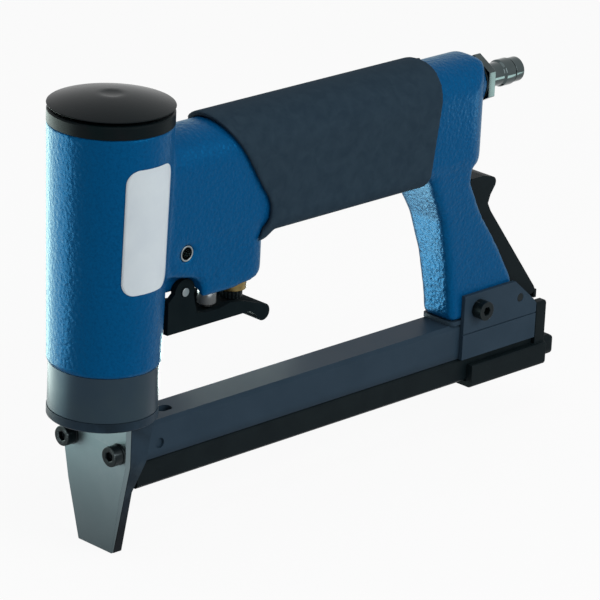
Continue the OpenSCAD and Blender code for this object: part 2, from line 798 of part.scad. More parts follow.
// Nose: outline seen from the front
module nose_front_outline() {
    polygon([[-foot_half_w, 0], [foot_half_w, 0], [nose_half_w, nose_taper_z], [nose_half_w, nose_h],
        [-nose_half_w, nose_h], [-nose_half_w, nose_taper_z]]);
}
module nose_body() {
    side = [[joint_x, 0], [2.9, 0], [2.4, slide_z + 2.9], [6.4, nose_taper_z + 1], [nose_rear_x, nose_h],
        [joint_x, nose_h]];
    edge = 0.4;
    color(black) difference() {
        union() {
            intersection() {
                run_x(joint_x, nose_rear_x) nose_front_outline();
                side_slab(nose_half_w + 1) polygon(side);
            }
            turned([[0, nose_h], [flange_r - edge, nose_h], [flange_r, nose_h + edge],
                [flange_r, collar_z - fit], [0, collar_z - fit]]);
        }
        driver_slot();
        magazine_pocket();
        both_sides() along_x(screw_r, joint_x - 1, 5.4, nose_screw_y, nose_screw_z);
        flange_screw_places() {
            along_z(flange_screw_r + fit, nose_h - 1, collar_z + 1);
            along_z(flange_screw_head_r + fit, nose_h - 1, nose_h + flange_screw_head_h + 0.15);
        }
    }
}
// Slot that guides the blade, down through the flange to the foot
module driver_slot() {
    translate([joint_x - 1, -blade_slot_half_w, -1])
        cube([1 - 2 * joint_x, 2 * blade_slot_half_w, nose_h + 1]);
    translate([-0.9, -blade_slot_half_w, nose_h - 1]) cube([1.8, 2 * blade_slot_half_w, flange_t + 2]);
}
// Pocket for the magazine's front end and the window for the staples
module magazine_pocket() {
    translate([web_x, -pocket_half_w, slide_z - slip])
        cube([nose_rear_x, 2 * pocket_half_w, cover_top_z + fit - slide_z + slip]);
    translate([0, -channel_half_w, core_z - slip])
        cube([web_x + 1, 2 * channel_half_w, roof_z - core_z + slip]);
}
module flange_screw_places() {
    for (a = [flange_screw_angle, -flange_screw_angle]) for (turn = [0, 180])
        rotate(a + turn) translate([flange_screw_pcr, 0, 0]) children();
}
module flange_screws() {
    color(dark_steel) flange_screw_places() translate([0, 0, nose_h + 0.1]) rotate([180, 0, 0])
        cap_screw(flange_screw_head_r, flange_screw_head_h, flange_screw_r - fit,
            flange_t + collar_h + flange_screw_l - flange_screw_head_h - 0.5);
}
module front_plate() {
    back = joint_x - plate_gap;
    side = [[back, 0], [back, nose_h - 0.1], [plate_x, nose_h - 0.1], [plate_x, crease_z],
        [back - plate_foot_t, 0]];
    color(dark_steel) difference() {
        intersection() {
            run_x(plate_x - 1, back + 1) nose_front_outline();
            side_slab(nose_half_w + 1) polygon(side);
        }
        both_sides() along_x(screw_r + run, plate_x - 1, joint_x + 1, nose_screw_y, nose_screw_z);
    }
}
module nose_screws() {
    color(black) both_sides()
        translate([plate_x - washer_h - screw_head_h, nose_screw_y, nose_screw_z]) rotate([0, -90, 0])
            cap_screw(screw_head_r, screw_head_h, screw_r - fit, washer_h + plate_t + 5.2);
}
module nose_washers() {
    color(dark_steel) both_sides() difference() {
        along_x(washer_r, plate_x - washer_h + fit, plate_x - fit, nose_screw_y, nose_screw_z);
        along_x(screw_r + run, plate_x - 2 * washer_h, plate_x + 1, nose_screw_y, nose_screw_z);
    }
}

// Magazine cover: channel with bevelled top edges and lips that carry the slide
module cover_section() {
    bevel = 1.2;
    polygon(mirrored([[channel_half_w, roof_z], [channel_half_w, lip_z], [lip_half_w, lip_z],
        [lip_half_w, lip_z + lip_h], [neck_half_w, lip_z + lip_h], [neck_half_w, slide_top + 0.3],
        [cover_half_w - 0.3, slide_top + 0.3], [cover_half_w, slide_top + 1.6],
        [cover_half_w, cover_top_z - bevel], [cover_half_w - bevel, cover_top_z]]));
}
module magazine_cover() {
    window_x = nose_rear_x + 15;
    window_half_w = 2.2;
    window_radii = [2, 2, 2, 2];
    dimple_x = nose_rear_x + 10.2;
    color(black) difference() {
        run_x(cover_x, cover_end_x) cover_section();
        translate([0, 0, roof_z - 1]) linear_extrude(roof_t + 2)
            soft_rect(window_x, window_x + 6, -window_half_w, window_half_w, window_radii);
        both_sides() along_y(1.8, cover_half_w - 0.9, cover_half_w + 1, dimple_x, cover_top_z - 8);
    }
}

// Slide: hooked rail with a hollow core that carries the staples
module slide_section() {
    half_w = slide_half_w();
    inner = half_w - slide_wall;
    polygon(mirrored([[half_w - 1, slide_z], [half_w, slide_z + 1], [half_w, slide_top - 0.6],
        [half_w - 0.6, slide_top], [neck_half_w + slip, slide_top], [neck_half_w + slip, hook_z],
        [inner, hook_z], [inner, slide_z + slide_floor]]));
}
module magazine_slide() {
    gap_half_w = core_half_w - core_wall;
    core_h = core_top - core_z;
    color(black) difference() {
        union() {
            run_x(slide_front_x, slide_end_x) slide_section();
            for (side = [0, 1]) mirror([0, side, 0])
                translate([core_x, gap_half_w, core_z])
                    cube([rod_stop_x + rod_stop_l - core_x, core_wall, core_h]);
            translate([core_x, -core_half_w, core_z])
                cube([slide_front_x + 4 - core_x, 2 * core_half_w, slide_floor - 0.1]);
            translate([rod_stop_x, -gap_half_w - 0.1, core_z])
                cube([rod_stop_l, 2 * gap_half_w + 0.2, core_h]);
        }
        along_x(rod_r + fit, rod_stop_x - 1, rod_stop_x + rod_stop_l + 1, 0, rod_z);
        rivet_places() along_z(rivet_r + fit, slide_z - 1, slide_z + slide_floor + 1);
    }
}
rivet_r = 1.2;
module rivet_places() {
    for (share = [0.25, 0.75]) translate([block_x + share * (upright_x - block_x), 0, 0]) children();
}
module slide_end() {
    inner = slide_half_w() + fit;
    edge = 1.6;
    color(black) difference() {
        union() {
            run_x(block_x, upright_end)
                soft_rect(-end_block_half_w, end_block_half_w, block_z, block_top, [edge, edge, 0.6, 0.6]);
            run_x(upright_x, upright_end)
                soft_rect(-upright_half_w, upright_half_w, block_z + 1, upright_top, [0, 0, 1, 1]);
        }
        translate([block_x - 1, -inner, slide_z - fit])
            cube([upright_x - block_x + 1, 2 * inner, block_top]);
        translate([upright_x + catch_lip, -lever_half_w - 0.6, upright_top - 3])
            cube([upright_t, 2 * lever_half_w + 1.2, 4]);
        rivet_places() along_z(rivet_r + fit, block_z - 1, slide_z + 1);
    }
}
module slide_rivets() {
    color(dark_steel) rivet_places() along_z(rivet_r, block_z + 0.1, slide_z + slide_floor);
}
module pull_knob() {
    knob_l = 8.4;
    half_w = 7;
    low = block_z + 0.9;
    high = block_top + 0.2;
    r = 2.9;
    color(black) intersection() {
        run_x(upright_end + fit, upright_end + knob_l)
            soft_rect(-half_w, half_w, low, high, [r, r, r, r]);
        side_slab(half_w + 1) soft_rect(upright_end, upright_end + knob_l, low, high, [0, r, r, 0]);
        linear_extrude(high) soft_rect(upright_end, upright_end + knob_l, -half_w, half_w, [0, r, r, 0]);
    }
}

// Pusher: saddle over the core, with a tongue on the guide rod
module pusher() {
    tongue_half_w = core_half_w - core_wall - 0.2;
    leg_in = core_half_w + slip;
    leg_out = channel_half_w - slip;
    leg_z = slide_z + slide_floor + 1.9;
    color(steel) difference() {
        union() {
            translate([pusher_x, -leg_out, core_top + 0.2])
                cube([pusher_l, 2 * leg_out, pusher_top - core_top - 0.2]);
            for (side = [0, 1]) mirror([0, side, 0])
                translate([pusher_x, leg_in, leg_z])
                    cube([pusher_l, leg_out - leg_in, pusher_top - leg_z]);
            translate([pusher_x + 4, -tongue_half_w, rod_z - 4])
                cube([pusher_l - 4, 2 * tongue_half_w, core_top + 0.3 - rod_z + 4]);
        }
        along_x(rod_r + run, pusher_x - 1, pusher_x + pusher_l + 1, 0, rod_z);
    }
}
module guide_rod() {
    color(steel) along_x(rod_r, pusher_x + 2, rod_stop_x + rod_stop_l, 0, rod_z);
}
module pusher_spring() {
    x0 = pusher_x + pusher_l + 0.2;
    color(steel) translate([x0, 0, rod_z]) rotate([0, 90, 0])
        coil(1.7, 0.3, rod_stop_x - 0.2 - x0, 20);
}

// Bracket: saddle over the magazine's rear end, with a side plate at each side
module bracket_plate_outline() {
    polygon([[bracket_x, bracket_top], [bracket_x, bracket_z], [bracket_end, bracket_z],
        [bracket_end, cover_top_z], [latch_x + 7, cover_top_z + 2], [latch_x - 3, bracket_top]]);
}
module rear_bracket() {
    seam = 0.4;
    color(black) difference() {
        union() {
            both_sides() translate([0, plate_out, 0]) rotate([90, 0, 0])
                linear_extrude(bracket_t) bracket_plate_outline();
            translate([0, 0, cover_top_z + fit]) linear_extrude(bracket_t)
                soft_rect(bracket_x - 4.4, latch_x - 7, -plate_in - eps, plate_in + eps,
                    [post_front_r, 0, 0, post_front_r]);
        }
        both_sides() translate([bracket_x - 1, plate_out - seam, seam_z])
            cube([bracket_end - bracket_x + 2, 1, seam]);
        along_y(screw_r + run, -handle_w, handle_w, bracket_screw_x, bracket_screw_z);
        along_y(latch_pin_r + fit, -handle_w, handle_w, latch_x, latch_z);
    }
}
module bracket_screw() {
    head_h = 4;
    color(black) translate([bracket_screw_x, -plate_out - fit - head_h, bracket_screw_z]) rotate([90, 0, 0])
        cap_screw(screw_head_r, head_h, screw_r, 2 * plate_out + nut_h + 1.5);
}
module bracket_nut() {
    color(dark_steel) difference() {
        translate([bracket_screw_x, plate_out + fit, bracket_screw_z]) rotate([-90, 0, 0])
            cylinder(r = nut_af / sqrt(3), h = nut_h, $fn = 6);
        along_y(screw_r + fit, 0, plate_out + nut_h + 1, bracket_screw_x, bracket_screw_z);
    }
}

// Latch lever: boss and toothed toe below, slanted arm, thumb pad on top
module lever_outline() {
    pad_z = latch_z + 0.785 * lever_len;
    waist_z = latch_z + 0.61 * lever_len;
    translate([latch_x, latch_z]) circle(boss_r);
    translate([latch_x + 10, toe_z + 1.6]) circle(1.6);
    translate([latch_x - 14.4, pad_z - 1.4]) circle(2.2);
    polygon([[latch_x, latch_z - boss_r], [latch_x + 10, toe_z], [latch_x + 11.3, toe_z + 2.6],
        [latch_x - 5.2, latch_z + 0.385 * lever_len], [latch_x - 14, waist_z - 1.5],
        [latch_x - 15.6, waist_z + 1.5], [latch_x - 14.6, waist_z + 4.5], [latch_x - 12.4, pad_z - 2.5],
        [latch_x - 13.6, pad_z + 0.6], [latch_x - 18.5, pad_z + 2], [latch_x - 24.6, pad_z + 2],
        [latch_x - 25.6, pad_z], [latch_x - 23.4, pad_z - 5], [latch_x - 20.4, waist_z],
        [latch_x - 12, latch_z + 0.385 * lever_len], [latch_x - 4, latch_z + 0.15 * lever_len],
        [latch_x - boss_r, latch_z]]);
}
module latch_lever() {
    color(black) difference() {
        union() {
            side_slab(lever_half_w) lever_outline();
            translate([tooth_x, -lever_half_w, tooth_z]) cube([tooth_l, 2 * lever_half_w, 3]);
        }
        along_y(latch_pin_r + run, -handle_w, handle_w, latch_x, latch_z);
        along_x(latch_spring_bore, latch_x - 30, latch_x - 13, 0, latch_spring_z);
    }
}
module latch_pin() {
    color(steel) along_y(latch_pin_r, -plate_out, plate_out, latch_x, latch_z);
}
module latch_spring() {
    color(steel) translate([latch_spring_x + 0.2, 0, latch_spring_z]) rotate([0, 90, 0])
        coil(latch_spring_r - 0.4, 0.35, latch_spring_l, 6);
}

// Trigger: two sheet sides, a finger web and a rolled tip
tip_x = trigger_x + trigger_l;
tip_roll_r = 2.9;
module trigger_side() {
    low = pivot_z - trigger_drop;
    front = trigger_x - 7.1;
    translate([trigger_x, pivot_z]) circle(ear_r);
    translate([tip_x, low - 1.6]) circle(tip_roll_r);
    polygon([[front, low], [tip_x - 6, low], [tip_x - 2, low - 3], [tip_x + 1, low + 1.1],
        [tip_x - 3.4, low + 2.3], [tip_x - 9, low + 4.2], [tip_x - 15, low + 5.2],
        [plunger_x - 2.5, low + 4.2], [trigger_x + 10, low + 4.2], [trigger_x + 5.6, low + 5],
        [trigger_x + ear_r - 0.4, pivot_z - 1.5], [trigger_x, pivot_z + 2], [trigger_x - ear_r, pivot_z],
        [front, pivot_z - 2.4]]);
}
module trigger_web() {
    low = pivot_z - trigger_drop;
    translate([tip_x, low - 1.6]) circle(tip_roll_r);
    polygon([[trigger_x - 4, low], [tip_x - 6, low], [tip_x - 2, low - 3], [tip_x + 1, low + 1.1],
        [tip_x - 2.6, low + trigger_t], [trigger_x - 4, low + trigger_t]]);
}
module trigger() {
    color(black) difference() {
        union() {
            side_slab(trigger_w / 2 - eps) trigger_web();
            both_sides() translate([0, trigger_w / 2, 0]) rotate([90, 0, 0])
                linear_extrude(trigger_t) trigger_side();
        }
        along_y(trigger_pin_r + run, -chin_w, chin_w, trigger_x, pivot_z);
    }
}
module trigger_pin() {
    reach = trigger_w / 2 + 0.5;
    color(steel) along_y(trigger_pin_r, -reach, reach, trigger_x, pivot_z);
}
module trigger_plunger() {
    z0 = web_z + rest_gap;
    edge = 1.2;
    color(steel) translate([plunger_x, 0, 0]) difference() {
        turned([[0, z0], [plunger_r - edge, z0], [plunger_r, z0 + edge], [plunger_r, z0 + plunger_h],
            [0, z0 + plunger_h]]);
        along_z(plunger_cup_r, z0 + plunger_h - 10, z0 + plunger_h + 1);
    }
}
module plunger_spring() {
    z0 = web_z + rest_gap + plunger_h - 10 + 0.1;
    color(steel) translate([plunger_x, 0, z0])
        coil(plunger_cup_r - 0.6, 0.3, chin_z + plunger_bore_h - 0.1 - z0, 8);
}

// Trigger valve: brass body, stem with knurled knob, seals and spring
module valve_body() {
    color(brass) translate([valve_x, 0, 0]) difference() {
        union() {
            along_z(valve_r, valve_z, valve_top);
            along_z(valve_r + 0.8, chin_z - 2, chin_z - fit);
        }
        along_z(knob_r + 0.3, valve_z - 1, valve_seat_z);
        along_z(stem_r + run, valve_z, valve_top);
        along_z(chamber_r, stem_head_z - 4, valve_top + 1);
        difference() {
            along_z(valve_r + 1, chin_z + 3, chin_z + 4.6);
            along_z(valve_r - 1.1, chin_z + 2, chin_z + 5);
        }
    }
}
module valve_body_seal() {
    color(black) translate([valve_x, 0, 0]) seal_ring(valve_r - 0.55, 0.5, chin_z + 3.8);
}
module valve_stem() {
    tip_z = web_z + rest_gap;
    head_r = chamber_r - 0.6;
    color(steel) translate([valve_x, 0, 0]) difference() {
        union() {
            along_z(stem_r, tip_z, stem_head_z + stem_head_h);
            along_z(head_r, stem_head_z, stem_head_z + stem_head_h);
        }
        difference() {
            along_z(head_r + 1, stem_head_z + 0.4, stem_head_z + 1.6);
            along_z(head_r - 0.6, stem_head_z, stem_head_z + stem_head_h);
        }
    }
}
module stem_seal() {
    color(black) translate([valve_x, 0, 0]) seal_ring(chamber_r - 0.6, 0.5, stem_head_z + 1);
}
// Knob with a ring of knurled ribs
module valve_knob() {
    ribs = 18;
    color(black) translate([valve_x, 0, 0]) difference() {
        union() {
            along_z(knob_r - 0.3, knob_z, knob_z + knob_h);
            for (i = [0:ribs - 1]) rotate(i * 360 / ribs)
                translate([knob_r - 0.8, -0.3, knob_z + 0.4]) cube([0.8, 0.6, knob_h - 0.8]);
        }
        along_z(stem_r + fit, knob_z - 1, knob_z + knob_h + 1);
    }
}
module valve_spring() {
    z0 = stem_head_z + stem_head_h + 0.1;
    color(steel) translate([valve_x, 0, z0]) coil(chamber_r - 0.9, 0.3, valve_roof - 0.1 - z0, 5);
}
module cross_pin() {
    reach = handle_w / 2 - 0.3;
    color(steel) difference() {
        along_y(cross_r, -reach, reach, cross_x, cross_z);
        along_y(cross_bore_r, -reach - 1, reach + 1, cross_x, cross_z);
    }
}

// Air plug: thread, hexagon, neck, locking collar and tip
module air_plug() {
    x1 = plug_x + hex_t;
    end_x = x1 + plug_l;
    tip_x0 = end_x - tip_l;
    collar_x = tip_x0 - plug_groove_l - collar_l;
    edge = 0.7;
    color(steel) difference() {
        union() {
            along_x(plug_thread_r, handle_end_x - plug_thread_l, x1, 0, plug_z);
            translate([plug_x, 0, plug_z]) rotate([0, 90, 0])
                cylinder(r = plug_hex_af / sqrt(3), h = hex_t, $fn = 6);
            turned_x([[0, x1 - 1], [neck_r, x1 - 1], [neck_r, collar_x - edge], [plug_collar_r, collar_x],
                [plug_collar_r, collar_x + collar_l], [neck_r - 0.2, collar_x + collar_l],
                [neck_r - 0.2, tip_x0], [tip_r, tip_x0], [tip_r, end_x - edge], [tip_r - edge, end_x],
                [0, end_x]], plug_z);
        }
        along_x(plug_bore_r, handle_end_x - plug_thread_l - 1, end_x + 1, 0, plug_z);
    }
}
module plug_washer() {
    color(dark_steel) difference() {
        along_x(plug_thread_r + 1.2, handle_end_x + 0.02, plug_x - 0.02, 0, plug_z);
        along_x(plug_thread_r + run, handle_end_x - 1, plug_x + 1, 0, plug_z);
    }
}

housing();
grip_sleeve();
cap_base();
cap_dome();
cap_screws();
cap_seal();
head_valve();
head_valve_seal();
head_valve_spring();
cylinder_liner();
liner_seals();
piston();
piston_ring();
driver_blade();
driver_pin();
bumper();
barrel_collar();
nose_body();
flange_screws();
front_plate();
nose_screws();
nose_washers();
magazine_cover();
magazine_slide();
slide_end();
slide_rivets();
pull_knob();
pusher();
guide_rod();
pusher_spring();
rear_bracket();
bracket_screw();
bracket_nut();
latch_lever();
latch_pin();
latch_spring();
trigger();
trigger_pin();
trigger_plunger();
plunger_spring();
valve_body();
valve_body_seal();
valve_stem();
valve_knob();
stem_seal();
valve_spring();
cross_pin();
air_plug();
plug_washer();
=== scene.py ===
"""Finish of a pneumatic upholstery stapler: cast housing, rubber grip, metal pieces and a studio."""

import json
import math

import bmesh
import bpy
import numpy as np
from mathutils import Matrix, Vector
from mathutils.bvhtree import BVHTree

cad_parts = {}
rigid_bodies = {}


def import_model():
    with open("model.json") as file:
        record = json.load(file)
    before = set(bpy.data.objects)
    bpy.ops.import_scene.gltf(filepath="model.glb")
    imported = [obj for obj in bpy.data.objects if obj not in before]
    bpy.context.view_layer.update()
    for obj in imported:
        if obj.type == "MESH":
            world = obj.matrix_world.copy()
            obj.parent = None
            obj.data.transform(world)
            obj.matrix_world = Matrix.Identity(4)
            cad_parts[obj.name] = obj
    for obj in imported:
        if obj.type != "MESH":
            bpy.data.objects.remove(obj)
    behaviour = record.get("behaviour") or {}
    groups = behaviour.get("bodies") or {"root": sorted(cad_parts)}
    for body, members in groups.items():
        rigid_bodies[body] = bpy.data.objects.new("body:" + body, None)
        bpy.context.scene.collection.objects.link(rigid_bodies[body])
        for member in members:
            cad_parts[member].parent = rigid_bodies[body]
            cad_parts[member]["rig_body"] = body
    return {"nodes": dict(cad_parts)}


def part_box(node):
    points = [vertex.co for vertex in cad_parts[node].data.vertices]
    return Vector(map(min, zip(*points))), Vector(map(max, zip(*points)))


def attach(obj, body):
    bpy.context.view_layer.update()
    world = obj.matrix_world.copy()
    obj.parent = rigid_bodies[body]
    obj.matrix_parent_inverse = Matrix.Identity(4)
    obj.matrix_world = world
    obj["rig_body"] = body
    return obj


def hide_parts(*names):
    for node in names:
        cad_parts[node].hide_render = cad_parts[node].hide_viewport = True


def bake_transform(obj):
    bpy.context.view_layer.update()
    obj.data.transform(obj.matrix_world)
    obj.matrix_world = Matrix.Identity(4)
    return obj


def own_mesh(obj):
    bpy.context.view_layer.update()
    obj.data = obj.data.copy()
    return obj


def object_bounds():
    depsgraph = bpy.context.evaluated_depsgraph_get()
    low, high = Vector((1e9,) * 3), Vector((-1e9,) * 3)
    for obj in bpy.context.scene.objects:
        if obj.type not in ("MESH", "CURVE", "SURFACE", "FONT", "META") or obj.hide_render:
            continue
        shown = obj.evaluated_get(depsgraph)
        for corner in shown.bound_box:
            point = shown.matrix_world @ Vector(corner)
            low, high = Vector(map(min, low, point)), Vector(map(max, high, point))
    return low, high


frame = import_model()

bl_info = {
    "name": "Upholstery Stapler Finish",
    "version": (1, 0, 0),
    "blender": (4, 5, 0),
    "location": "3D View > Sidebar > Stapler",
    "description": "Dresses the stapler's pieces and sets them in a plain studio",
    "category": "Object",
}

CAD_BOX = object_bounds()
NODES = frame["nodes"]
MM = 0.001

# Barrel, from the frame: its radius is a hair under the band's above it and over the collar's below it
BAND_STEP = 0.05 * MM
COLLAR_STEP = 0.6 * MM
BARREL_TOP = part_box("housing")[1].z
BARREL_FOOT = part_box("barrel_collar")[1].z
BARREL_TOP_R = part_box("cap_base")[1].x - BAND_STEP
BARREL_FOOT_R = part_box("barrel_collar")[1].x + COLLAR_STEP

# Sockets of the colour Mix node, which share their names with those of other data types
MIX_A, MIX_B, MIX_RESULT = 6, 7, 2


def length(name, text, default):
    """A length in metres that the sidebar shows in the scene's unit."""
    return bpy.props.FloatProperty(
        name=name, description=text, default=default, min=0.0, precision=5,
        subtype="DISTANCE", unit="LENGTH"
    )


def tint(name, text, default):
    """A linear colour."""
    return bpy.props.FloatVectorProperty(
        name=name, description=text, default=default, size=3, min=0.0, max=1.0, subtype="COLOR"
    )


def number(name, text, default, unit="NONE"):
    """A number, with a unit where one fits."""
    return bpy.props.FloatProperty(name=name, description=text, default=default, unit=unit)


def whole(name, text, default):
    """A whole number."""
    return bpy.props.IntProperty(name=name, description=text, default=default, min=0)


def degrees(name, text, default):
    """An angle, given in degrees."""
    return bpy.props.FloatProperty(
        name=name, description=text, default=math.radians(default), subtype="ANGLE", unit="ROTATION"
    )


class StaplerShape(bpy.types.PropertyGroup):
    """Sizes of the pieces that are made here."""

    cast_voxel: length("Casting detail", "Cell size of the casting's skin", 0.8 * MM)
    cast_rounds: whole("Casting softness", "Rounds of softening", 11)
    grip_voxel: length("Grip detail", "Cell size of the rubber sleeve's skin", 0.5 * MM)
    grip_rounds: whole("Grip softness", "Rounds of softening", 5)
    label_low: length("Label foot", "Height of the label's lower edge", 92.4 * MM)
    label_high: length("Label head", "Height of the label's upper edge", 134.0 * MM)
    label_width: length("Label width", "Width of the label round the barrel", 20.0 * MM)
    label_corner: length("Label corner", "Radius of the label's corners", 4.6 * MM)
    label_thick: length("Label film", "Thickness of the label's film", 0.12 * MM)
    label_angle: degrees("Label place", "Angle of the label round the barrel", -88.7)
    fine_edge: length("Fine edge", "Rounding of small turned and ground edges", 0.18 * MM)
    sheet_edge: length("Sheet edge", "Rounding of sheet and milled edges", 0.3 * MM)
    cast_edge: length("Cast edge", "Rounding of cast and moulded edges", 0.55 * MM)


class StaplerColours(bpy.types.PropertyGroup):
    """Colours of the finishes, as linear values."""

    enamel: tint("Enamel", "Blue of the housing", (0.0018, 0.077, 0.218))
    enamel_deep: tint("Deep enamel", "Blue in the hollows of the hammered skin", (0.0013, 0.060, 0.177))
    enamel_sheen: tint("Enamel sheen", "Tint of the enamel's gloss", (0.06, 0.85, 0.80))
    rubber: tint("Grip rubber", "Rubber of the sleeve", (0.017, 0.033, 0.050))
    rubber_dust: tint("Rubber bloom", "Paler bloom on the rubber", (0.024, 0.043, 0.062))
    dome: tint("Dome", "Gloss plastic of the cap's dome", (0.0015, 0.006, 0.007))
    band: tint("Band", "Satin plastic of the cap's band", (0.004, 0.0065, 0.008))
    black: tint("Satin black", "Paint of the magazine and the bracket", (0.021, 0.040, 0.061))
    black_pale: tint("Handled black", "Satin black where it is handled", (0.026, 0.047, 0.070))
    # Painted shade: dark tone that the foot masks blend in towards the lower edges of the nose, the
    # front plate and the magazine cover
    foot: tint("Painted foot shade", "Tone of the nose towards its foot in painted shade", (0.004, 0.007, 0.010))
    nose: tint("Nose black", "Paint of the nose", (0.011, 0.021, 0.031))
    dark: tint("Dull black", "Paint of the lever, the trigger and the slide", (0.004, 0.008, 0.010))
    dark_pale: tint("Handled dull black", "Dull black where it is handled", (0.007, 0.012, 0.014))
    oxide: tint("Black oxide", "Screws and pins", (0.006, 0.011, 0.013))
    collar: tint("Collar", "Dark anodised collar", (0.028, 0.048, 0.062))
    plate: tint("Front plate", "Burnished front plate", (0.150, 0.200, 0.215))
    plate_deep: tint("Plate shade", "Darker passages of the front plate", (0.110, 0.155, 0.168))
    steel: tint("Steel", "Ground steel", (0.28, 0.31, 0.32))
    polish: tint("Polished steel", "Plunger and stem", (0.62, 0.68, 0.70))
    chrome: tint("Chrome", "Plated air plug", (0.075, 0.095, 0.098))
    chrome_deep: tint("Chrome shade", "Darker passages of the plating", (0.045, 0.058, 0.060))
    brass: tint("Brass", "Trigger valve", (0.27, 0.20, 0.075))
    brass_dull: tint("Dull brass", "Tarnish on the trigger valve", (0.13, 0.10, 0.045))
    alloy: tint("Alloy", "Liner and piston", (0.52, 0.53, 0.53))
    seal: tint("Seals", "Black rubber seals", (0.008, 0.008, 0.009))
    bumper: tint("Bumper", "Amber bumper", (0.19, 0.09, 0.02))
    acetal: tint("Valve plastic", "Pale head valve", (0.62, 0.59, 0.50))
    label: tint("Label", "Bare label film", (0.58, 0.65, 0.70))
    label_pale: tint("Label sheen", "Paler passages of the label film", (0.62, 0.69, 0.73))
    bare_edge: tint("Bare edge", "Metal that shows at worn edges", (0.16, 0.20, 0.215))


class StaplerStudio(bpy.types.PropertyGroup):
    """Camera, lamps and floor."""

    lens: number("Lens", "Focal length in millimetres on a 36 mm sensor", 252.7, "CAMERA")
    azimuth: degrees("Azimuth", "Turn of the camera round the part", -45.61)
    elevation: degrees("Elevation", "Height of the camera over the horizon", 20.3)
    roll: degrees("Roll", "Tilt of the camera about its own axis", 2.72)
    distance: length("Distance", "Distance of the camera from the aim", 1390.0 * MM)
    aim: bpy.props.FloatVectorProperty(
        name="Aim", description="Point that the camera turns about", default=(0.08, 0.0, 0.075),
        subtype="TRANSLATION", unit="LENGTH"
    )
    slide: bpy.props.FloatVectorProperty(
        name="Slide", description="Sideways and upward place of the aim in the picture",
        default=(-5.16 * MM, 8.19 * MM), size=2, unit="LENGTH"
    )
    pane: number("Panes", "Brightness of the panes that show in the gloss alone", 5.0)
    pane_tint: tint("Pane tint", "Tint of the panes", (0.82, 1.0, 0.93))
    top_power: number("Top lamp", "Power of the lamp above, in watts", 1.2, "POWER")
    fill_power: number("Fill lamp", "Power of the lamp right of the camera, in watts", 4.6, "POWER")
    ambient: number("Ambient", "Strength of the even light all round", 0.42)
    floor: tint("Floor", "Colour of the floor", (0.80, 0.80, 0.80))
    floor_glow: number("Floor white", "Share of plain white in the floor that the camera sees", 0.92)


def shape():
    """The sizes set in the sidebar."""
    return bpy.context.scene.stapler_shape


def colours():
    """The colours set in the sidebar."""
    return bpy.context.scene.stapler_colours


def studio():
    """The studio settings of the sidebar."""
    return bpy.context.scene.stapler_studio


# Shader effects that several finishes share


def shader_group(name, inputs, outputs):
    """An empty group with number sockets, and its two end nodes."""
    tree = bpy.data.node_groups.new(name, "ShaderNodeTree")
    for label, default in inputs.items():
        socket = tree.interface.new_socket(label, in_out="INPUT", socket_type="NodeSocketFloat")
        socket.default_value = default
    for label in outputs:
        tree.interface.new_socket(label, in_out="OUTPUT", socket_type="NodeSocketFloat")
    return tree, tree.nodes.new("NodeGroupInput"), tree.nodes.new("NodeGroupOutput")


def noise(tree, detail, distortion=0.0):
    """A noise texture node with its detail set."""
    texture = tree.nodes.new("ShaderNodeTexNoise")
    texture.inputs["Detail"].default_value = detail
    texture.inputs["Distortion"].default_value = distortion
    return texture


def spread(tree, source, low, high):
    """Stretches a value between low and high to the range from 0 to 1."""
    node = tree.nodes.new("ShaderNodeMapRange")
    node.inputs["From Min"].default_value = low
    node.inputs["From Max"].default_value = high
    tree.links.new(source, node.inputs["Value"])
    return node.outputs["Result"]


def surface_marks_group():
    """Fine marks with their own scale along each axis, and a broad patchy mask."""
    inputs = {"Scale X": 2000.0, "Scale Y": 2000.0, "Scale Z": 2000.0, "Patch Scale": 60.0}
    tree, given, result = shader_group("Surface marks", inputs, ("Height", "Patch"))
    place = tree.nodes.new("ShaderNodeTexCoord")
    scales = tree.nodes.new("ShaderNodeCombineXYZ")
    stretched = tree.nodes.new("ShaderNodeVectorMath")
    stretched.operation = "MULTIPLY"
    for axis in "XYZ":
        tree.links.new(given.outputs["Scale " + axis], scales.inputs[axis])
    tree.links.new(place.outputs["Object"], stretched.inputs[0])
    tree.links.new(scales.outputs["Vector"], stretched.inputs[1])
    fine = noise(tree, detail=3.0)
    fine.inputs["Scale"].default_value = 1.0
    broad = noise(tree, detail=4.0, distortion=0.4)
    tree.links.new(stretched.outputs["Vector"], fine.inputs["Vector"])
    tree.links.new(place.outputs["Object"], broad.inputs["Vector"])
    tree.links.new(given.outputs["Patch Scale"], broad.inputs["Scale"])
    tree.links.new(fine.outputs["Fac"], result.inputs["Height"])
    patches = spread(tree, broad.outputs["Fac"], low=0.32, high=0.68)
    tree.links.new(patches, result.inputs["Patch"])
    return tree


def hammered_skin_group():
    """Shallow pebbled height of hammered enamel, and a fine gritty mask."""
    inputs = {"Scale": 600.0, "Patch Scale": 900.0}
    tree, given, result = shader_group("Hammered skin", inputs, ("Height", "Patch"))
    place = tree.nodes.new("ShaderNodeTexCoord")
    pebbles = tree.nodes.new("ShaderNodeTexVoronoi")
    pebbles.feature = "SMOOTH_F1"
    pebbles.inputs["Smoothness"].default_value = 0.9
    wander = noise(tree, detail=2.0)
    grit = noise(tree, detail=3.0)
    mixed = tree.nodes.new("ShaderNodeMath")
    mixed.operation = "ADD"
    for texture, scale in ((pebbles, "Scale"), (wander, "Scale"), (grit, "Patch Scale")):
        tree.links.new(place.outputs["Object"], texture.inputs["Vector"])
        tree.links.new(given.outputs[scale], texture.inputs["Scale"])
    tree.links.new(pebbles.outputs["Distance"], mixed.inputs[0])
    tree.links.new(wander.outputs["Fac"], mixed.inputs[1])
    tree.links.new(mixed.outputs["Value"], result.inputs["Height"])
    patches = spread(tree, grit.outputs["Fac"], low=0.35, high=0.65)
    tree.links.new(patches, result.inputs["Patch"])
    return tree


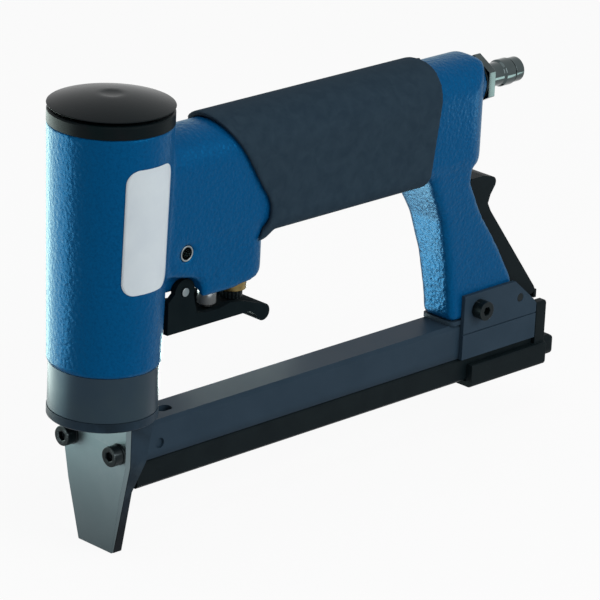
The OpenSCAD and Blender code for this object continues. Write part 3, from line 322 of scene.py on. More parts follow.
def edge_wear_group():
    """Mask of the outward edges, broken up by noise."""
    inputs = {"Start": 0.53, "Full": 0.62, "Scale": 900.0}
    tree, given, result = shader_group("Edge wear", inputs, ("Mask",))
    form = tree.nodes.new("ShaderNodeNewGeometry")
    edges = tree.nodes.new("ShaderNodeMapRange")
    place = tree.nodes.new("ShaderNodeTexCoord")
    breakup = noise(tree, detail=4.0)
    mask = tree.nodes.new("ShaderNodeMath")
    mask.operation = "MULTIPLY"
    mask.use_clamp = True
    tree.links.new(form.outputs["Pointiness"], edges.inputs["Value"])
    tree.links.new(given.outputs["Start"], edges.inputs["From Min"])
    tree.links.new(given.outputs["Full"], edges.inputs["From Max"])
    tree.links.new(place.outputs["Object"], breakup.inputs["Vector"])
    tree.links.new(given.outputs["Scale"], breakup.inputs["Scale"])
    tree.links.new(edges.outputs["Result"], mask.inputs[0])
    tree.links.new(spread(tree, breakup.outputs["Fac"], low=0.38, high=0.62), mask.inputs[1])
    tree.links.new(mask.outputs["Value"], result.inputs["Mask"])
    return tree


def foot_shade_group():
    """Mask of painted shade that is full at the foot and fades with height."""
    tree, given, result = shader_group("Foot shade", {"Low": 0.0, "High": 0.04}, ("Mask",))
    place = tree.nodes.new("ShaderNodeTexCoord")
    axes = tree.nodes.new("ShaderNodeSeparateXYZ")
    fade = tree.nodes.new("ShaderNodeMapRange")
    fade.inputs["To Min"].default_value = 1.0
    fade.inputs["To Max"].default_value = 0.0
    tree.links.new(place.outputs["Object"], axes.inputs["Vector"])
    tree.links.new(axes.outputs["Z"], fade.inputs["Value"])
    tree.links.new(given.outputs["Low"], fade.inputs["From Min"])
    tree.links.new(given.outputs["High"], fade.inputs["From Max"])
    tree.links.new(fade.outputs["Result"], result.inputs["Mask"])
    return tree


GROUP_MAKERS = {
    "Surface marks": surface_marks_group,
    "Hammered skin": hammered_skin_group,
    "Edge wear": edge_wear_group,
    "Foot shade": foot_shade_group,
}


def place_group(tree, name, values):
    """A shared effect placed in a material with its own values."""
    node = tree.nodes.new("ShaderNodeGroup")
    node.node_tree = bpy.data.node_groups.get(name) or GROUP_MAKERS[name]()
    for label, value in values.items():
        node.inputs[label].default_value = value
    return node


def opaque(colour):
    """A colour with full alpha."""
    return (*colour, 1.0)


def mix_colours(tree, factor, first, second):
    """Colour that runs from first to second by a mask. Each is a colour or a socket."""
    node = tree.nodes.new("ShaderNodeMix")
    node.data_type = "RGBA"
    tree.links.new(factor, node.inputs["Factor"])
    for socket, value in ((MIX_A, first), (MIX_B, second)):
        if isinstance(value, bpy.types.NodeSocket):
            tree.links.new(value, node.inputs[socket])
        else:
            node.inputs[socket].default_value = opaque(value)
    return node.outputs[MIX_RESULT]


def finish(
    name, colour, other, rough, marks, bump, skin="Surface marks", wear=None, foot=None, **sockets
):
    """A Principled material: colours and gloss by patches, marks as bump, worn edges and painted shade
    at the foot.
    """
    material = bpy.data.materials.get(name)
    if material:
        return material
    material = bpy.data.materials.new(name)
    material.use_nodes = True
    tree = material.node_tree
    shader = tree.nodes["Principled BSDF"]
    effect = place_group(tree, skin, marks)
    base = mix_colours(tree, effect.outputs["Patch"], colour, other)
    if wear:
        edges = place_group(tree, "Edge wear", wear)
        base = mix_colours(tree, edges.outputs["Mask"], base, colours().bare_edge)
    # Painted shade: darkens the base colour towards the foot
    if foot:
        shade = place_group(tree, "Foot shade", foot)
        base = mix_colours(tree, shade.outputs["Mask"], base, colours().foot)
    tree.links.new(base, shader.inputs["Base Color"])
    gloss = tree.nodes.new("ShaderNodeMapRange")
    gloss.inputs["To Min"].default_value, gloss.inputs["To Max"].default_value = rough
    tree.links.new(effect.outputs["Patch"], gloss.inputs["Value"])
    tree.links.new(gloss.outputs["Result"], shader.inputs["Roughness"])
    relief = tree.nodes.new("ShaderNodeBump")
    relief.inputs["Strength"].default_value, relief.inputs["Distance"].default_value = bump
    tree.links.new(effect.outputs["Height"], relief.inputs["Height"])
    tree.links.new(relief.outputs["Normal"], shader.inputs["Normal"])
    for label, value in sockets.items():
        shader.inputs[label.replace("_", " ")].default_value = value
    return material


def grain(scale, patch):
    """Marks of the same scale along every axis."""
    return {"Scale X": scale, "Scale Y": scale, "Scale Z": scale, "Patch Scale": patch}


def turned(axis, fine, coarse, patch):
    """Marks of a lathe or a draw bench: fine along one axis and long across it."""
    marks = {"Scale " + name: coarse for name in "XYZ"}
    marks["Scale " + axis] = fine
    marks["Patch Scale"] = patch
    return marks


# Finishes


def hammered_enamel():
    """Blue enamel with metal flake and a hammered skin."""
    tone = colours()
    return finish(
        "hammered_enamel", tone.enamel, tone.enamel_deep, rough=(0.26, 0.36),
        marks={"Scale": 760.0, "Patch Scale": 1500.0}, bump=(0.42, 0.35 * MM), skin="Hammered skin",
        Metallic=0.16, Specular_IOR_Level=0.09, Specular_Tint=opaque(tone.enamel_sheen)
    )


def sleeve_rubber():
    """Matte rubber with a fine grain."""
    tone = colours()
    return finish(
        "sleeve_rubber", tone.rubber, tone.rubber_dust, rough=(0.80, 0.92),
        marks=grain(3200.0, 260.0), bump=(0.35, 0.12 * MM), Specular_IOR_Level=0.05
    )


def gloss_dome():
    """Gloss black plastic."""
    tone = colours()
    return finish(
        "gloss_dome", tone.dome, tone.band, rough=(0.20, 0.28),
        marks=grain(1500.0, 40.0), bump=(0.02, 0.05 * MM), Specular_IOR_Level=0.06
    )


def satin_band():
    """Satin black plastic."""
    tone = colours()
    return finish(
        "satin_band", tone.band, tone.dome, rough=(0.34, 0.46),
        marks=grain(2400.0, 90.0), bump=(0.08, 0.06 * MM), Specular_IOR_Level=0.05
    )


def satin_black():
    """Black paint with a low sheen."""
    tone = colours()
    return finish(
        "satin_black", tone.black, tone.black_pale, rough=(0.36, 0.44),
        marks=grain(1900.0, 70.0), bump=(0.10, 0.06 * MM), Specular_IOR_Level=0.045
    )


def cover_black():
    """Satin black of the magazine cover, with painted shade that darkens it towards its lower edge."""
    tone = colours()
    low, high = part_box("magazine_cover")
    return finish(
        "cover_paint", tone.black, tone.black_pale, rough=(0.36, 0.44),
        marks=grain(1900.0, 70.0), bump=(0.10, 0.06 * MM),
        # Painted shade: darker towards the lower edge, in place of a dark reflection
        foot={"Low": low.z - 2.0 * MM, "High": low.z + 0.42 * (high.z - low.z)},
        Specular_IOR_Level=0.045
    )


def nose_black():
    """Darker black of the nose, rubbed bright along its edges, with painted shade towards its foot."""
    tone = colours()
    return finish(
        "nose_paint", tone.nose, tone.black, rough=(0.34, 0.44),
        marks=grain(1900.0, 90.0), bump=(0.10, 0.06 * MM),
        wear={"Start": 0.54, "Full": 0.66, "Scale": 400.0},
        # Painted shade: darker towards the foot
        foot={"Low": 8.0 * MM, "High": 34.0 * MM},
        Specular_IOR_Level=0.05
    )


def dull_black():
    """Thicker, duller black of the lever and the slide."""
    tone = colours()
    return finish(
        "dull_black", tone.dark, tone.dark_pale, rough=(0.42, 0.54),
        marks=grain(1500.0, 110.0), bump=(0.14, 0.07 * MM), Specular_IOR_Level=0.04
    )


def trigger_black():
    """Matte black of the trigger."""
    tone = colours()
    return finish(
        "trigger_paint", tone.dark, tone.dark_pale, rough=(0.68, 0.80),
        marks=grain(1500.0, 110.0), bump=(0.05, 0.07 * MM), Specular_IOR_Level=0.02
    )


def black_oxide():
    """Blackened fasteners with bright worn rims."""
    tone = colours()
    return finish(
        "black_oxide", tone.oxide, tone.dark_pale, rough=(0.30, 0.42),
        marks=grain(2600.0, 180.0), bump=(0.10, 0.05 * MM),
        wear={"Start": 0.55, "Full": 0.72, "Scale": 1600.0},
        Metallic=0.35, Specular_IOR_Level=0.12
    )


def collar_alloy():
    """Dark anodised collar with turning marks."""
    tone = colours()
    return finish(
        "collar_alloy", tone.collar, tone.black, rough=(0.30, 0.40),
        marks=turned("Z", 4200.0, 60.0, 50.0), bump=(0.10, 0.05 * MM),
        Metallic=0.3, Specular_IOR_Level=0.1
    )


def burnished_plate():
    """Burnished front plate, brushed along its height, with painted shade towards its foot."""
    tone = colours()
    return finish(
        "burnished_plate", tone.plate, tone.plate_deep, rough=(0.34, 0.42),
        marks=turned("Y", 3600.0, 90.0, 26.0), bump=(0.07, 0.05 * MM),
        wear={"Start": 0.55, "Full": 0.70, "Scale": 500.0},
        # Painted shade: darker towards the foot
        foot={"Low": -28.0 * MM, "High": 30.0 * MM},
        Metallic=0.8, Specular_IOR_Level=0.1
    )


def ground_steel(axis):
    """Bright steel with fine marks round one axis."""
    tone = colours()
    return finish(
        "ground_steel_" + axis.lower(), tone.steel, tone.bare_edge, rough=(0.22, 0.36),
        marks=turned(axis, 3800.0, 140.0, 120.0), bump=(0.06, 0.04 * MM), Metallic=1.0
    )


def polished_pin():
    """Polished plunger and stem."""
    tone = colours()
    return finish(
        "polished_pin", tone.polish, tone.alloy, rough=(0.16, 0.24),
        marks=turned("Z", 3800.0, 140.0, 120.0), bump=(0.05, 0.04 * MM), Metallic=0.6
    )


def bright_plating():
    """Bright plating with faint turning marks."""
    tone = colours()
    return finish(
        "bright_plating", tone.chrome, tone.chrome_deep, rough=(0.08, 0.14),
        marks=turned("X", 3000.0, 120.0, 90.0), bump=(0.04, 0.04 * MM), Metallic=1.0
    )


def turned_brass():
    """Brass with turning marks and a little tarnish."""
    tone = colours()
    return finish(
        "turned_brass", tone.brass, tone.brass_dull, rough=(0.22, 0.38),
        marks=turned("Z", 3600.0, 120.0, 240.0), bump=(0.07, 0.05 * MM), Metallic=1.0
    )


def honed_alloy():
    """Light alloy of the liner and the piston."""
    tone = colours()
    return finish(
        "honed_alloy", tone.alloy, tone.steel, rough=(0.24, 0.36),
        marks=turned("Z", 3200.0, 90.0, 70.0), bump=(0.06, 0.05 * MM), Metallic=1.0
    )


def spring_wire():
    """Drawn steel wire."""
    tone = colours()
    return finish(
        "spring_wire", tone.alloy, tone.steel, rough=(0.20, 0.32),
        marks=grain(4200.0, 300.0), bump=(0.05, 0.03 * MM), Metallic=1.0
    )


def ring_rubber():
    """Black seal rubber."""
    tone = colours()
    return finish(
        "ring_rubber", tone.seal, tone.dark_pale, rough=(0.50, 0.64),
        marks=grain(3600.0, 200.0), bump=(0.15, 0.05 * MM), Specular_IOR_Level=0.08
    )


def amber_rubber():
    """Amber bumper rubber."""
    tone = colours()
    return finish(
        "amber_rubber", tone.bumper, tone.brass, rough=(0.40, 0.55),
        marks=grain(2200.0, 120.0), bump=(0.12, 0.06 * MM)
    )


def pale_acetal():
    """Pale moulded plastic of the head valve."""
    tone = colours()
    return finish(
        "pale_acetal", tone.acetal, tone.alloy, rough=(0.36, 0.46),
        marks=grain(1800.0, 90.0), bump=(0.06, 0.05 * MM)
    )


def label_film():
    """Bare pale film with a soft sheen."""
    tone = colours()
    return finish(
        "label_film", tone.label, tone.label_pale, rough=(0.34, 0.42),
        marks=grain(700.0, 120.0), bump=(0.03, 0.03 * MM), Specular_IOR_Level=0.1
    )


# Shared ways of making pieces


# Corners of a solid's triangles that lie closer than this are one
JOIN_GAP = 0.002 * MM
# Faces that meet at less than the flat angle are one, and edges over the sharp angle are rounded
FLAT_ANGLE = math.radians(0.4)
SHARP_ANGLE = math.radians(32)
EDGE_SEGMENTS = 2


def show_with(piece, material):
    """Gives a piece one material in place of those it has."""
    piece.data.materials.clear()
    piece.data.materials.append(material)


def round_edges(piece, width):
    """Rounds the sharp edges of a solid that came as triangles."""
    weld = piece.modifiers.new("Joined corners", "WELD")
    weld.merge_threshold = JOIN_GAP
    flat = piece.modifiers.new("Flat faces", "DECIMATE")
    flat.decimate_type = "DISSOLVE"
    flat.angle_limit = FLAT_ANGLE
    bevel = piece.modifiers.new("Rounded edges", "BEVEL")
    bevel.width = width
    bevel.segments = EDGE_SEGMENTS
    bevel.limit_method = "ANGLE"
    bevel.angle_limit = SHARP_ANGLE
    shading = piece.modifiers.new("Even shading", "WEIGHTED_NORMAL")
    shading.keep_sharp = False


def dress(names, material, edge):
    """Gives solids a finish and rounded edges."""
    for name in names:
        show_with(NODES[name], material)
        round_edges(NODES[name], edge)


def new_piece(name, mesh, body, material):
    """A new piece that rides on a body."""
    piece = bpy.data.objects.new(name, mesh)
    bpy.context.scene.collection.objects.link(piece)
    show_with(piece, material)
    if body:
        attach(piece, body)
    return piece


def skin_mesh(node_name, voxel):
    """One even skin of quads over a solid."""
    mesh = NODES[node_name].data.copy()
    solid = bmesh.new()
    solid.from_mesh(mesh)
    bmesh.ops.remove_doubles(solid, verts=solid.verts, dist=JOIN_GAP)
    solid.to_mesh(mesh)
    solid.free()
    carrier = bpy.data.objects.new("skin_of_" + node_name, mesh)
    bpy.context.scene.collection.objects.link(carrier)
    remesh = carrier.modifiers.new("Skin", "REMESH")
    remesh.mode = "VOXEL"
    remesh.voxel_size = voxel
    graph = bpy.context.evaluated_depsgraph_get()
    skin = bpy.data.meshes.new_from_object(carrier.evaluated_get(graph))
    bpy.data.objects.remove(carrier)
    return skin


def points_of(mesh):
    """The mesh's points as rows."""
    flat = np.empty(len(mesh.vertices) * 3, np.float32)
    mesh.vertices.foreach_get("co", flat)
    return flat.reshape(-1, 3).astype(float)


def edges_of(mesh):
    """The mesh's edges as pairs of point numbers."""
    flat = np.empty(len(mesh.edges) * 2, np.int32)
    mesh.edges.foreach_get("vertices", flat)
    return flat.reshape(-1, 2)


# Part of the way to its neighbours' middle that a soft point moves in a round
SOFT_PULL = 0.5


def soften(mesh, rounds, share):
    """Moves each point towards its neighbours' middle, by its share, in rounds."""
    points = points_of(mesh)
    edges = edges_of(mesh)
    ends = np.concatenate((edges[:, 0], edges[:, 1]))
    others = np.concatenate((edges[:, 1], edges[:, 0]))
    count = np.maximum(np.bincount(ends, minlength=len(points)), 1)
    for _ in range(rounds):
        sums = [np.bincount(ends, points[others, axis], len(points)) / count for axis in range(3)]
        points += SOFT_PULL * share[:, None] * (np.stack(sums, 1) - points)
    return points


def set_points(mesh, points):
    """Writes the points back and shades the mesh smooth."""
    mesh.vertices.foreach_set("co", points.astype(np.float32).ravel())
    mesh.polygons.foreach_set("use_smooth", np.ones(len(mesh.polygons), bool))
    mesh.update()


# Width of the step between true and soft places
SOFT_STEP = 0.8 * MM


def beyond(points, node_name, axis, margin, reach):
    """0 close to a round piece's axis and 1 beyond its radius, the margin and a soft step."""
    low, high = (np.array(corner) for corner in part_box(node_name))
    across = [i for i in range(3) if i != axis]
    middle = (low + high) / 2
    radius = min(high[i] - low[i] for i in across) / 2
    away = np.linalg.norm((points - middle)[:, across], axis=1) - radius - margin
    past = np.maximum(low[axis] - points[:, axis], points[:, axis] - high[axis]) - reach
    return np.clip(np.maximum(away, past) / SOFT_STEP, 0.0, 1.0)


def clear_of(points, node_name, margin):
    """0 inside a piece's box and its margins, and 1 beyond a soft step."""
    low, high = (np.array(corner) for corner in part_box(node_name))
    past = np.maximum(low - margin - points, points - high - margin).max(axis=1)
    return np.clip(past / SOFT_STEP, 0.0, 1.0)


# Pieces


# Machined places of the casting, which keep their size: piece, axis, margin, reach past its ends
MACHINED = (
    ("cylinder_liner", 2, 2.6 * MM, 60.0 * MM),
    ("trigger_pin", 1, 0.4 * MM, 4.0 * MM),
    ("cross_pin", 1, 0.4 * MM, 1.0 * MM),
    ("trigger_plunger", 2, 0.5 * MM, 4.0 * MM),
    ("valve_body", 2, -0.2 * MM, 4.0 * MM),
    ("latch_spring", 0, 0.8 * MM, 1.0 * MM),
)
# Depth of the rims at the barrel's ends, which stay sharp, and how far round the barrel that goes
RIM = 1.2 * MM
RIM_REACH = 1.0 * MM
# Points that soften less than this share lie on the true surface
TRUE_SHARE = 0.5
# Room that the lever needs round its box: it swings forward into the post's groove
LEVER_SWING = np.array((6.0, 0.5, 1.0)) * MM


def casting_share(points):
    """How far each point of the casting may soften: not at all at bores, seats and rims."""
    share = np.ones(len(points))
    for place in MACHINED:
        share = np.minimum(share, beyond(points, *place))
    share = np.minimum(share, clear_of(points, "latch_lever", LEVER_SWING))
    height = points[:, 2]
    off_rim = np.minimum(BARREL_TOP - RIM - height, height - BARREL_FOOT - RIM) / SOFT_STEP
    at_barrel = np.hypot(points[:, 0], points[:, 1]) < BARREL_TOP_R + RIM_REACH
    return np.where(at_barrel, np.minimum(share, np.clip(off_rim, 0.0, 1.0)), share)


def cast_housing():
    """The housing as a casting: soft outer edges and fillets, true bores, seats and rims."""
    source = NODES["housing"].data
    mesh = skin_mesh("housing", shape().cast_voxel)
    points = points_of(mesh)
    share = casting_share(points)
    soft = soften(mesh, shape().cast_rounds, share)
    corners = [vertex.co for vertex in source.vertices]
    surface = BVHTree.FromPolygons(corners, [tuple(face.vertices) for face in source.polygons])
    for i in np.flatnonzero(share < TRUE_SHARE):
        soft[i] = surface.find_nearest(Vector(soft[i]))[0]
    set_points(mesh, soft)
    return mesh


class STAPLER_OT_housing(bpy.types.Operator):
    """Makes the cast housing with its hammered enamel"""

    bl_idname = "stapler.housing"
    bl_label = "Cast Housing"

    def execute(self, context):
        piece = new_piece("housing_casting", cast_housing(), "tool_body", hammered_enamel())
        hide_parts("housing")
        return {"FINISHED"}


def moulding(node_name, voxel, rounds):
    """A moulded rubber piece: the solid with soft edges."""
    mesh = skin_mesh(node_name, voxel)
    set_points(mesh, soften(mesh, rounds, np.ones(len(mesh.vertices))))
    return mesh


class STAPLER_OT_grip(bpy.types.Operator):
    """Makes the rubber sleeve of the handle and the bumper in the barrel"""

    bl_idname = "stapler.grip"
    bl_label = "Rubber Pieces"

    def execute(self, context):
        settings = shape()
        sleeve = moulding("grip_sleeve", settings.grip_voxel, settings.grip_rounds)
        piece = new_piece("grip_moulding", sleeve, "tool_body", sleeve_rubber())
        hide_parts("grip_sleeve")
        bumper = moulding("bumper", settings.grip_voxel, settings.grip_rounds)
        piece = new_piece("bumper_moulding", bumper, "tool_body", amber_rubber())
        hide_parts("bumper")
        return {"FINISHED"}


def barrel_radius(z):
    """Radius of the barrel's cone at a height."""
    share = (z - BARREL_FOOT) / (BARREL_TOP - BARREL_FOOT)
    return BARREL_FOOT_R + share * (BARREL_TOP_R - BARREL_FOOT_R)


LABEL_ROWS, LABEL_COLUMNS = 40, 20
LABEL_GAP = 0.02 * MM


def label_half_width(z):
    """Half the label's width at a height, narrower inside its corner radii."""
    settings = shape()
    corner = settings.label_corner
    into = max(settings.label_low + corner - z, z - settings.label_high + corner, 0.0)
    return settings.label_width / 2 - corner + math.sqrt(max(corner**2 - into**2, 0.0))


def label_mesh():
    """A film with round corners, bent round the barrel."""
    settings = shape()
    points, faces = [], []
    for row in range(LABEL_ROWS + 1):
        swing = 0.5 - 0.5 * math.cos(math.pi * row / LABEL_ROWS)
        z = settings.label_low + swing * (settings.label_high - settings.label_low)
        radius = barrel_radius(z) + LABEL_GAP
        for column in range(LABEL_COLUMNS + 1):
            along = (2 * column / LABEL_COLUMNS - 1) * label_half_width(z)
            angle = settings.label_angle + along / radius
            points.append((radius * math.cos(angle), radius * math.sin(angle), z))
    step = LABEL_COLUMNS + 1
    for row in range(LABEL_ROWS):
        for column in range(LABEL_COLUMNS):
            low = row * step + column
            faces.append((low, low + 1, low + step + 1, low + step))
    mesh = bpy.data.meshes.new("label_film")
    mesh.from_pydata(points, [], faces)
    mesh.polygons.foreach_set("use_smooth", [True] * len(mesh.polygons))
    return mesh


class STAPLER_OT_label(bpy.types.Operator):
    """Makes the bare label on the barrel"""

    bl_idname = "stapler.label"
    bl_label = "Bare Label"

    def execute(self, context):
        piece = new_piece("barrel_label", label_mesh(), "tool_body", label_film())
        film = piece.modifiers.new("Film", "SOLIDIFY")
        film.thickness = shape().label_thick
        film.offset = 1.0
        return {"FINISHED"}


class STAPLER_OT_cap(bpy.types.Operator):
    """Finishes the dome, the band and their screws and seal"""

    bl_idname = "stapler.cap"
    bl_label = "Cap"

    def execute(self, context):
        edges = shape()
        dress(["cap_dome"], gloss_dome(), edges.fine_edge)
        dress(["cap_base"], satin_band(), edges.fine_edge)
        dress(["cap_screws"], black_oxide(), edges.fine_edge)
        dress(["cap_seal"], ring_rubber(), edges.fine_edge)
        return {"FINISHED"}


class STAPLER_OT_drive(bpy.types.Operator):
    """Finishes the pieces inside the barrel"""

    bl_idname = "stapler.drive"
    bl_label = "Drive"

    def execute(self, context):
        edge = shape().fine_edge
        dress(["head_valve"], pale_acetal(), edge)
        dress(["head_valve_seal", "liner_seals", "piston_ring"], ring_rubber(), edge)
        dress(["cylinder_liner", "piston"], honed_alloy(), edge)
        dress(["driver_blade"], ground_steel("Z"), edge)
        dress(["driver_pin"], ground_steel("X"), edge)
        return {"FINISHED"}


class STAPLER_OT_nose(bpy.types.Operator):
    """Finishes the collar, the nose, its front plate and screws"""

    bl_idname = "stapler.nose"
    bl_label = "Nose"

    def execute(self, context):
        edges = shape()
        dress(["barrel_collar"], collar_alloy(), edges.fine_edge)
        dress(["nose_body"], nose_black(), edges.sheet_edge)
        dress(["front_plate"], burnished_plate(), edges.sheet_edge)
        dress(["nose_screws", "nose_washers"], black_oxide(), edges.sheet_edge)
        dress(["flange_screws"], black_oxide(), edges.fine_edge)
        return {"FINISHED"}


class STAPLER_OT_magazine(bpy.types.Operator):
    """Finishes the cover, the slide and what moves in them"""

    bl_idname = "stapler.magazine"
    bl_label = "Magazine"

    def execute(self, context):
        edges = shape()
        dress(["magazine_cover"], cover_black(), edges.sheet_edge)
        dress(["magazine_slide"], dull_black(), edges.sheet_edge)
        dress(["slide_end", "pull_knob"], dull_black(), edges.cast_edge)
        dress(["slide_rivets"], black_oxide(), edges.fine_edge)
        dress(["pusher", "guide_rod"], ground_steel("X"), edges.fine_edge)
        return {"FINISHED"}


class STAPLER_OT_bracket(bpy.types.Operator):
    """Finishes the rear bracket and the latch lever"""

    bl_idname = "stapler.bracket"
    bl_label = "Bracket and Latch"

    def execute(self, context):
        edges = shape()
        dress(["rear_bracket"], satin_black(), edges.sheet_edge)
        dress(["latch_lever"], dull_black(), edges.cast_edge)
        dress(["bracket_screw", "bracket_nut"], black_oxide(), edges.sheet_edge)
        dress(["latch_pin"], black_oxide(), edges.fine_edge)
        return {"FINISHED"}


class STAPLER_OT_trigger(bpy.types.Operator):
    """Finishes the trigger, its plunger and its valve"""

    bl_idname = "stapler.trigger"
    bl_label = "Trigger and Valve"

    def execute(self, context):
        edges = shape()
        dress(["trigger"], trigger_black(), edges.sheet_edge)
        dress(["trigger_pin", "cross_pin"], ground_steel("Y"), edges.fine_edge)
        dress(["trigger_plunger", "valve_stem"], polished_pin(), edges.fine_edge)
        dress(["valve_body"], turned_brass(), edges.fine_edge)
        dress(["valve_knob"], black_oxide(), edges.fine_edge)
        dress(["valve_body_seal", "stem_seal"], ring_rubber(), edges.fine_edge)
        return {"FINISHED"}


class STAPLER_OT_plug(bpy.types.Operator):
    """Finishes the air plug and its washer"""

    bl_idname = "stapler.plug"
    bl_label = "Air Plug"

    def execute(self, context):
        edge = shape().fine_edge
        dress(["air_plug"], bright_plating(), edge)
        dress(["plug_washer"], black_oxide(), edge)
        return {"FINISHED"}


# Springs: node, axis, turns, radius of the wire
SPRINGS = (
    ("head_valve_spring", 2, 4.5, 0.68 * MM),
    ("plunger_spring", 2, 10.0, 0.3 * MM),
    ("valve_spring", 2, 5.0, 0.28 * MM),
    ("pusher_spring", 0, 34.0, 0.3 * MM),
    ("latch_spring", 0, 7.0, 0.35 * MM),
)
# Springs that the joints press in the tool; each gets a mesh of its own here, and the joint is not used:
# node, joint
PRESSED = (
    ("head_valve_spring", "head_valve_lift"),
    ("plunger_spring", "plunger_rise"),
    ("valve_spring", "stem_rise"),
    ("pusher_spring", "pusher_travel"),
)
RINGS_PER_TURN = 20
WIRE_SIDES = 10
# Pitch at the very ends of a spring, as a share of its open pitch
END_PITCH = 0.35


def wound_wire(name, axis, turns, wire):
    """A coil of round wire with closed end turns, in the space of its solid."""
    low, high = (np.array(corner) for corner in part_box(name))
    middle = (low + high) / 2
    across = [(axis + 1) % 3, (axis + 2) % 3]
    radius = (high[across[0]] - low[across[0]]) / 2 - wire
    steps = int(turns * RINGS_PER_TURN)
    turn = np.linspace(0.0, turns, steps + 1)
    open_turn = np.clip(np.minimum(turn, turns - turn), 0.0, 1.0)
    pitch = END_PITCH + (1.0 - END_PITCH) * open_turn
    rise = np.concatenate(([0.0], np.cumsum(pitch[1:])))
    height = low[axis] + wire + rise / rise[-1] * (high[axis] - low[axis] - 2 * wire)
    angle = 2 * math.pi * turn
    side = np.linspace(0.0, 2 * math.pi, WIRE_SIDES, endpoint=False)
    out = radius + wire * np.cos(side)[None, :]
    points = np.empty((steps + 1, WIRE_SIDES, 3))
    points[:, :, across[0]] = middle[across[0]] + out * np.cos(angle)[:, None]
    points[:, :, across[1]] = middle[across[1]] + out * np.sin(angle)[:, None]
    points[:, :, axis] = height[:, None] + wire * np.sin(side)[None, :]
    last = steps * WIRE_SIDES
    faces = [tuple(range(WIRE_SIDES))[::-1], tuple(range(last, last + WIRE_SIDES))]
    for i in range(steps):
        for j in range(WIRE_SIDES):
            here = i * WIRE_SIDES + j
            beside = i * WIRE_SIDES + (j + 1) % WIRE_SIDES
            faces.append((here, beside, beside + WIRE_SIDES, here + WIRE_SIDES))
    mesh = bpy.data.meshes.new(name + "_wire")
    mesh.from_pydata(points.reshape(-1, 3).tolist(), [], faces)
    mesh.polygons.foreach_set("use_smooth", [True] * len(mesh.polygons))
    return mesh


class STAPLER_OT_springs(bpy.types.Operator):
    """Winds the springs and gives the pressed ones a mesh of their own"""

    bl_idname = "stapler.springs"
    bl_label = "Springs"

    def execute(self, context):
        wires = {}
        for name, axis, turns, wire in SPRINGS:
            mesh = wound_wire(name, axis, turns, wire)
            body = None if name == "latch_spring" else NODES[name]["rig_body"]
            wires[name] = new_piece(name + "_wire", mesh, body, spring_wire())
            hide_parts(name)
        for name, joint in PRESSED:
            axis = next(row[1] for row in SPRINGS if row[0] == name)
            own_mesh(wires[name])
        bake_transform(wires["latch_spring"])
        return {"FINISHED"}


# Studio


SENSOR_WIDTH = 36.0
NEAREST, FARTHEST = 0.05, 20.0


def set_camera(context):
    """A camera at the photograph's viewing angle."""
    view = studio()
    back = Vector((
        math.sin(view.azimuth) * math.cos(view.elevation),
        -math.cos(view.azimuth) * math.cos(view.elevation),
        math.sin(view.elevation),
    ))
    level = Vector((math.cos(view.azimuth), math.sin(view.azimuth), 0.0))
    rise = back.cross(level)
    right = level * math.cos(view.roll) + rise * math.sin(view.roll)
    up = rise * math.cos(view.roll) - level * math.sin(view.roll)
    aim = Vector(view.aim) - right * view.slide[0] - up * view.slide[1]
    data = bpy.data.cameras.new("camera")
    data.sensor_width = SENSOR_WIDTH
    data.lens = view.lens
    data.clip_start, data.clip_end = NEAREST, FARTHEST
    camera = bpy.data.objects.new("camera", data)
    turn = Matrix((right, up, back)).transposed().to_4x4()
    camera.matrix_world = Matrix.Translation(aim + back * view.distance) @ turn
    context.scene.collection.objects.link(camera)
    context.scene.camera = camera


# Share of a rectangular lamp's watts per square metre that it shows as brightness
LAMP_BRIGHTNESS = 0.25


# Panes, close by so that the downward view meets them above the floor:
# name, place, aim, width and height, share of the panes' brightness
PANES = (
    ("barrel_pane", (-0.041, 0.091, 0.077), (0.0, 0.0, 0.077), (0.17, 0.126), 1.0),
    ("post_pane", (0.11, 0.05, 0.027), (0.11, 0.0, 0.027), (0.05, 0.046), 2.1),
    ("plug_pane", (0.2225, -0.047, 0.102), (0.182, -0.0075, 0.122), (0.02, 0.018), 0.75),
)
# Lamps: name, place, aim, width and height, setting that holds the power
LAMPS = (
    ("top", (-0.1, -0.1, 0.95), (0.08, 0.0, 0.1), (0.7, 0.7), "top_power"),
    ("fill", (0.25, -0.85, 0.55), (0.08, 0.0, 0.08), (0.8, 0.6), "fill_power"),
)


def gloss_pane(context, name, place, aim, size, share):
    """A bright pane that shows in gloss alone."""
    power = share * studio().pane * size[0] * size[1] / LAMP_BRIGHTNESS
    pane = soft_lamp(context, name, place, aim, size, power)
    pane.data.color = studio().pane_tint
    pane.visible_diffuse = False


def soft_lamp(context, name, place, aim, size, power):
    """A rectangular lamp that faces a point and that the camera doesn't see."""
    data = bpy.data.lights.new(name, "AREA")
    data.shape = "RECTANGLE"
    data.size, data.size_y = size
    data.energy = power
    lamp = bpy.data.objects.new(name, data)
    lamp.location = place
    lamp.rotation_mode = "QUATERNION"
    lamp.rotation_quaternion = (Vector(aim) - Vector(place)).to_track_quat("-Z", "Y")
    lamp.visible_camera = False
    context.scene.collection.objects.link(lamp)
    return lamp


def seen_directly(tree):
    """1 for rays from the camera, from gloss and through glass, and 0 for the rest."""
    path = tree.nodes.new("ShaderNodeLightPath")
    total = path.outputs["Is Camera Ray"]
    for kind in ("Is Glossy Ray", "Is Transmission Ray"):
        step = tree.nodes.new("ShaderNodeMath")
        step.operation = "MAXIMUM"
        tree.links.new(total, step.inputs[0])
        tree.links.new(path.outputs[kind], step.inputs[1])
        total = step.outputs["Value"]
    return total


def set_world(context):
    """Even light all round, which shows as white."""
    world = bpy.data.worlds.new("studio")
    context.scene.world = world
    world.use_nodes = True
    tree = world.node_tree
    strength = tree.nodes.new("ShaderNodeMapRange")
    strength.inputs["To Min"].default_value = studio().ambient
    tree.links.new(seen_directly(tree), strength.inputs["Value"])
    background = tree.nodes["Background"]
    background.inputs["Color"].default_value = (1.0, 1.0, 1.0, 1.0)
    tree.links.new(strength.outputs["Result"], background.inputs["Strength"])


